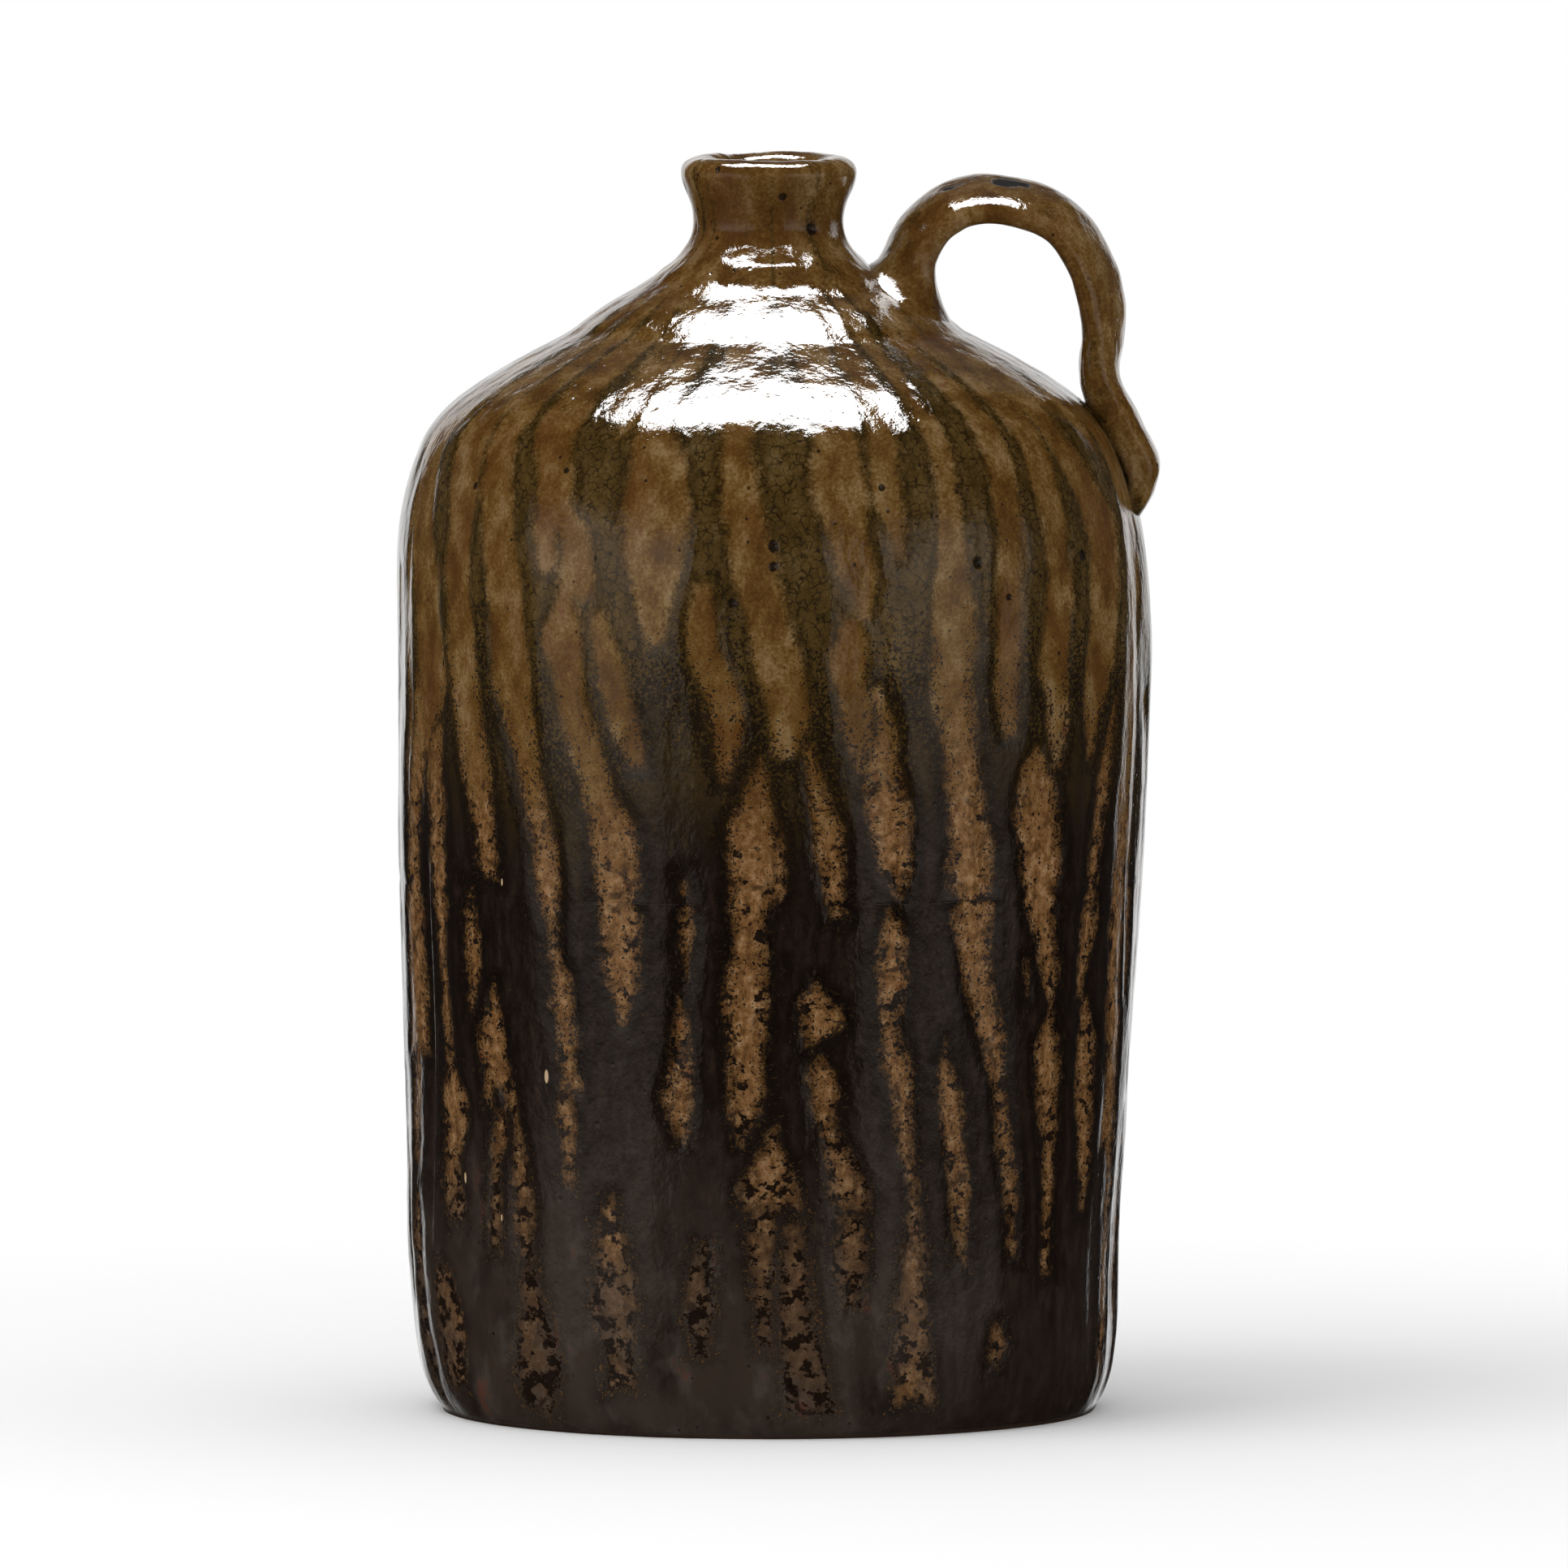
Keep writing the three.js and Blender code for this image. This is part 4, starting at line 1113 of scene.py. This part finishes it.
# %% [markdown]
# ## The studio
# Glossy glaze shows the room that it stands in. In the photograph a soft box hangs above the jug, a pale
# screen stands on each side of the camera, the wall behind is white, and the rest is dark. Here the world
# holds that room for reflections, an even fill for the colours, and plain white for what the camera sees
# past the jug. Real screens could stand in the scene instead, but they would have to be hidden from the
# camera one by one.

# %% World
FILL = 0.85  # light from all round on the colours
DARK, SCREEN, WHITE = (0.02, 0.02, 0.02, 1), (0.40, 0.35, 0.31, 1), (1, 1, 1, 1)
# Degrees round from the camera's side, and what stands there
ROOM = [
    (0, DARK), (25, DARK), (29, SCREEN), (68, SCREEN), (84, DARK), (150, DARK), (163, WHITE), (180, WHITE),
]
# Sine of the angle above the horizon, and how bright the room is there
RISE = [(-0.25, 0.3), (0.15, 2.1), (0.2, 2.1), (0.38, 0.1)]
world = bpy.data.worlds.new("studio")
bpy.context.scene.world = world
world.use_nodes = True
tree = world.node_tree
tree.nodes.clear()
heading = add_node(tree, "ShaderNodeTexCoord", out="Generated")
level = add_node(tree, "ShaderNodeVectorMath", {0: heading, 1: (1, 1, 0)}, operation="MULTIPLY")
level = add_node(tree, "ShaderNodeVectorMath", {0: level}, operation="NORMALIZE")
behind = add_node(tree, "ShaderNodeSeparateXYZ", {0: level}, out="Y")
share = add_node(tree, "ShaderNodeMapRange", {"Value": behind, "From Min": -1, "From Max": 1})
stops = [((1 - math.cos(math.radians(degrees))) / 2, tone) for degrees, tone in ROOM]
room = add_node(tree, "ShaderNodeValToRGB", {"Fac": share}, stops=stops)
upward = add_node(tree, "ShaderNodeSeparateXYZ", {0: heading}, out="Z")
share = add_node(tree, "ShaderNodeMapRange", {"Value": upward, "From Min": -1, "From Max": 1})
stops = [((rise + 1) / 2, (tone, tone, tone, 1)) for rise, tone in RISE]
rise = add_node(tree, "ShaderNodeValToRGB", {"Fac": share}, stops=stops)
room = add_node(tree, "ShaderNodeVectorMath", {0: room, "Scale": rise}, operation="SCALE")
room = add_node(tree, "ShaderNodeVectorMath", {0: room, 1: (1, 1, 1)}, operation="MINIMUM")
rays = add_node(tree, "ShaderNodeLightPath").node.outputs
light = add_node(
    tree, MIX, {0: rays["Is Glossy Ray"], 6: (FILL, FILL, FILL, 1), 7: room}, out=2, data_type="RGBA"
)
light = add_node(tree, MIX, {0: rays["Is Camera Ray"], 6: light, 7: WHITE}, out=2, data_type="RGBA")
background = add_node(tree, "ShaderNodeBackground", {"Color": light, "Strength": 1.0})
add_node(tree, "ShaderNodeOutputWorld", {"Surface": background})
print("world with", len(ROOM), "stops round the room")


# %% Lamps
def soft_lamp(name, place, aim_at, size, watts, shines, glints):
    """An area lamp aimed at a point."""
    lamp = bpy.data.lights.new(name, "AREA")
    lamp.shape = "RECTANGLE"
    lamp.size, lamp.size_y = size
    lamp.energy = watts
    box = bpy.data.objects.new(name, lamp)
    box.location = place
    box.rotation_euler = (Vector(aim_at) - Vector(place)).to_track_quat("-Z", "Y").to_euler()
    box.visible_diffuse = shines
    box.visible_glossy = glints
    box.visible_camera = False
    bpy.context.scene.collection.objects.link(box)


# Name, place, what it is aimed at and size in metres, watts, and whether it lights colours and is mirrored
LAMPS = [
    ("overhead_softbox", (-0.04, 0.23, 1.34), (-0.04, 0.23, 0), (0.84, 0.56), 32, False, True),
    ("left_key", (-0.9, -0.6, 1.6), (0, 0, 0.15), (1.2, 1.2), 10, True, False),
]
for lamp_row in LAMPS:
    soft_lamp(*lamp_row)
print(len(LAMPS), "lamps")

# %% Floor
FLOOR_RADIUS = 0.6
FADE_FROM, FADE_TO = 0.3, 0.55  # metres from the axis between which the floor fades into the white
floor_mesh = bpy.data.meshes.new("floor")
bm = bmesh.new()
bmesh.ops.create_circle(bm, cap_ends=True, segments=96, radius=FLOOR_RADIUS)
bm.to_mesh(floor_mesh)
bm.free()
floor = bpy.data.objects.new("floor", floor_mesh)
bpy.context.scene.collection.objects.link(floor)
paper = bpy.data.materials.new("white_paper")
paper.use_nodes = True
tree = paper.node_tree
tree.nodes.clear()
place = add_node(tree, "ShaderNodeTexCoord", out="Object")
away = add_node(tree, "ShaderNodeVectorMath", {0: place}, out="Value", operation="LENGTH")
rays = add_node(tree, "ShaderNodeLightPath").node.outputs
sheet = add_node(tree, "ShaderNodeBsdfDiffuse", {"Color": linear("#fafafa")})
inputs = {"Value": away, "From Min": FADE_FROM, "From Max": FADE_TO}
fade = add_node(tree, "ShaderNodeMapRange", inputs, interpolation_type="SMOOTHSTEP")
fade = add_node(tree, "ShaderNodeMath", {0: fade, 1: rays["Is Camera Ray"]}, operation="MULTIPLY")
white = add_node(tree, "ShaderNodeEmission", {"Strength": 1.0})
sheet = add_node(tree, "ShaderNodeMixShader", {0: fade, 1: sheet, 2: white})
room_shows = add_node(tree, "ShaderNodeBsdfTransparent")
sheet = add_node(tree, "ShaderNodeMixShader", {0: rays["Is Glossy Ray"], 1: sheet, 2: room_shows})
add_node(tree, "ShaderNodeOutputMaterial", {"Surface": sheet})
floor_mesh.materials.append(paper)

# %% View transform
bpy.context.scene.view_settings.view_transform = "Standard"
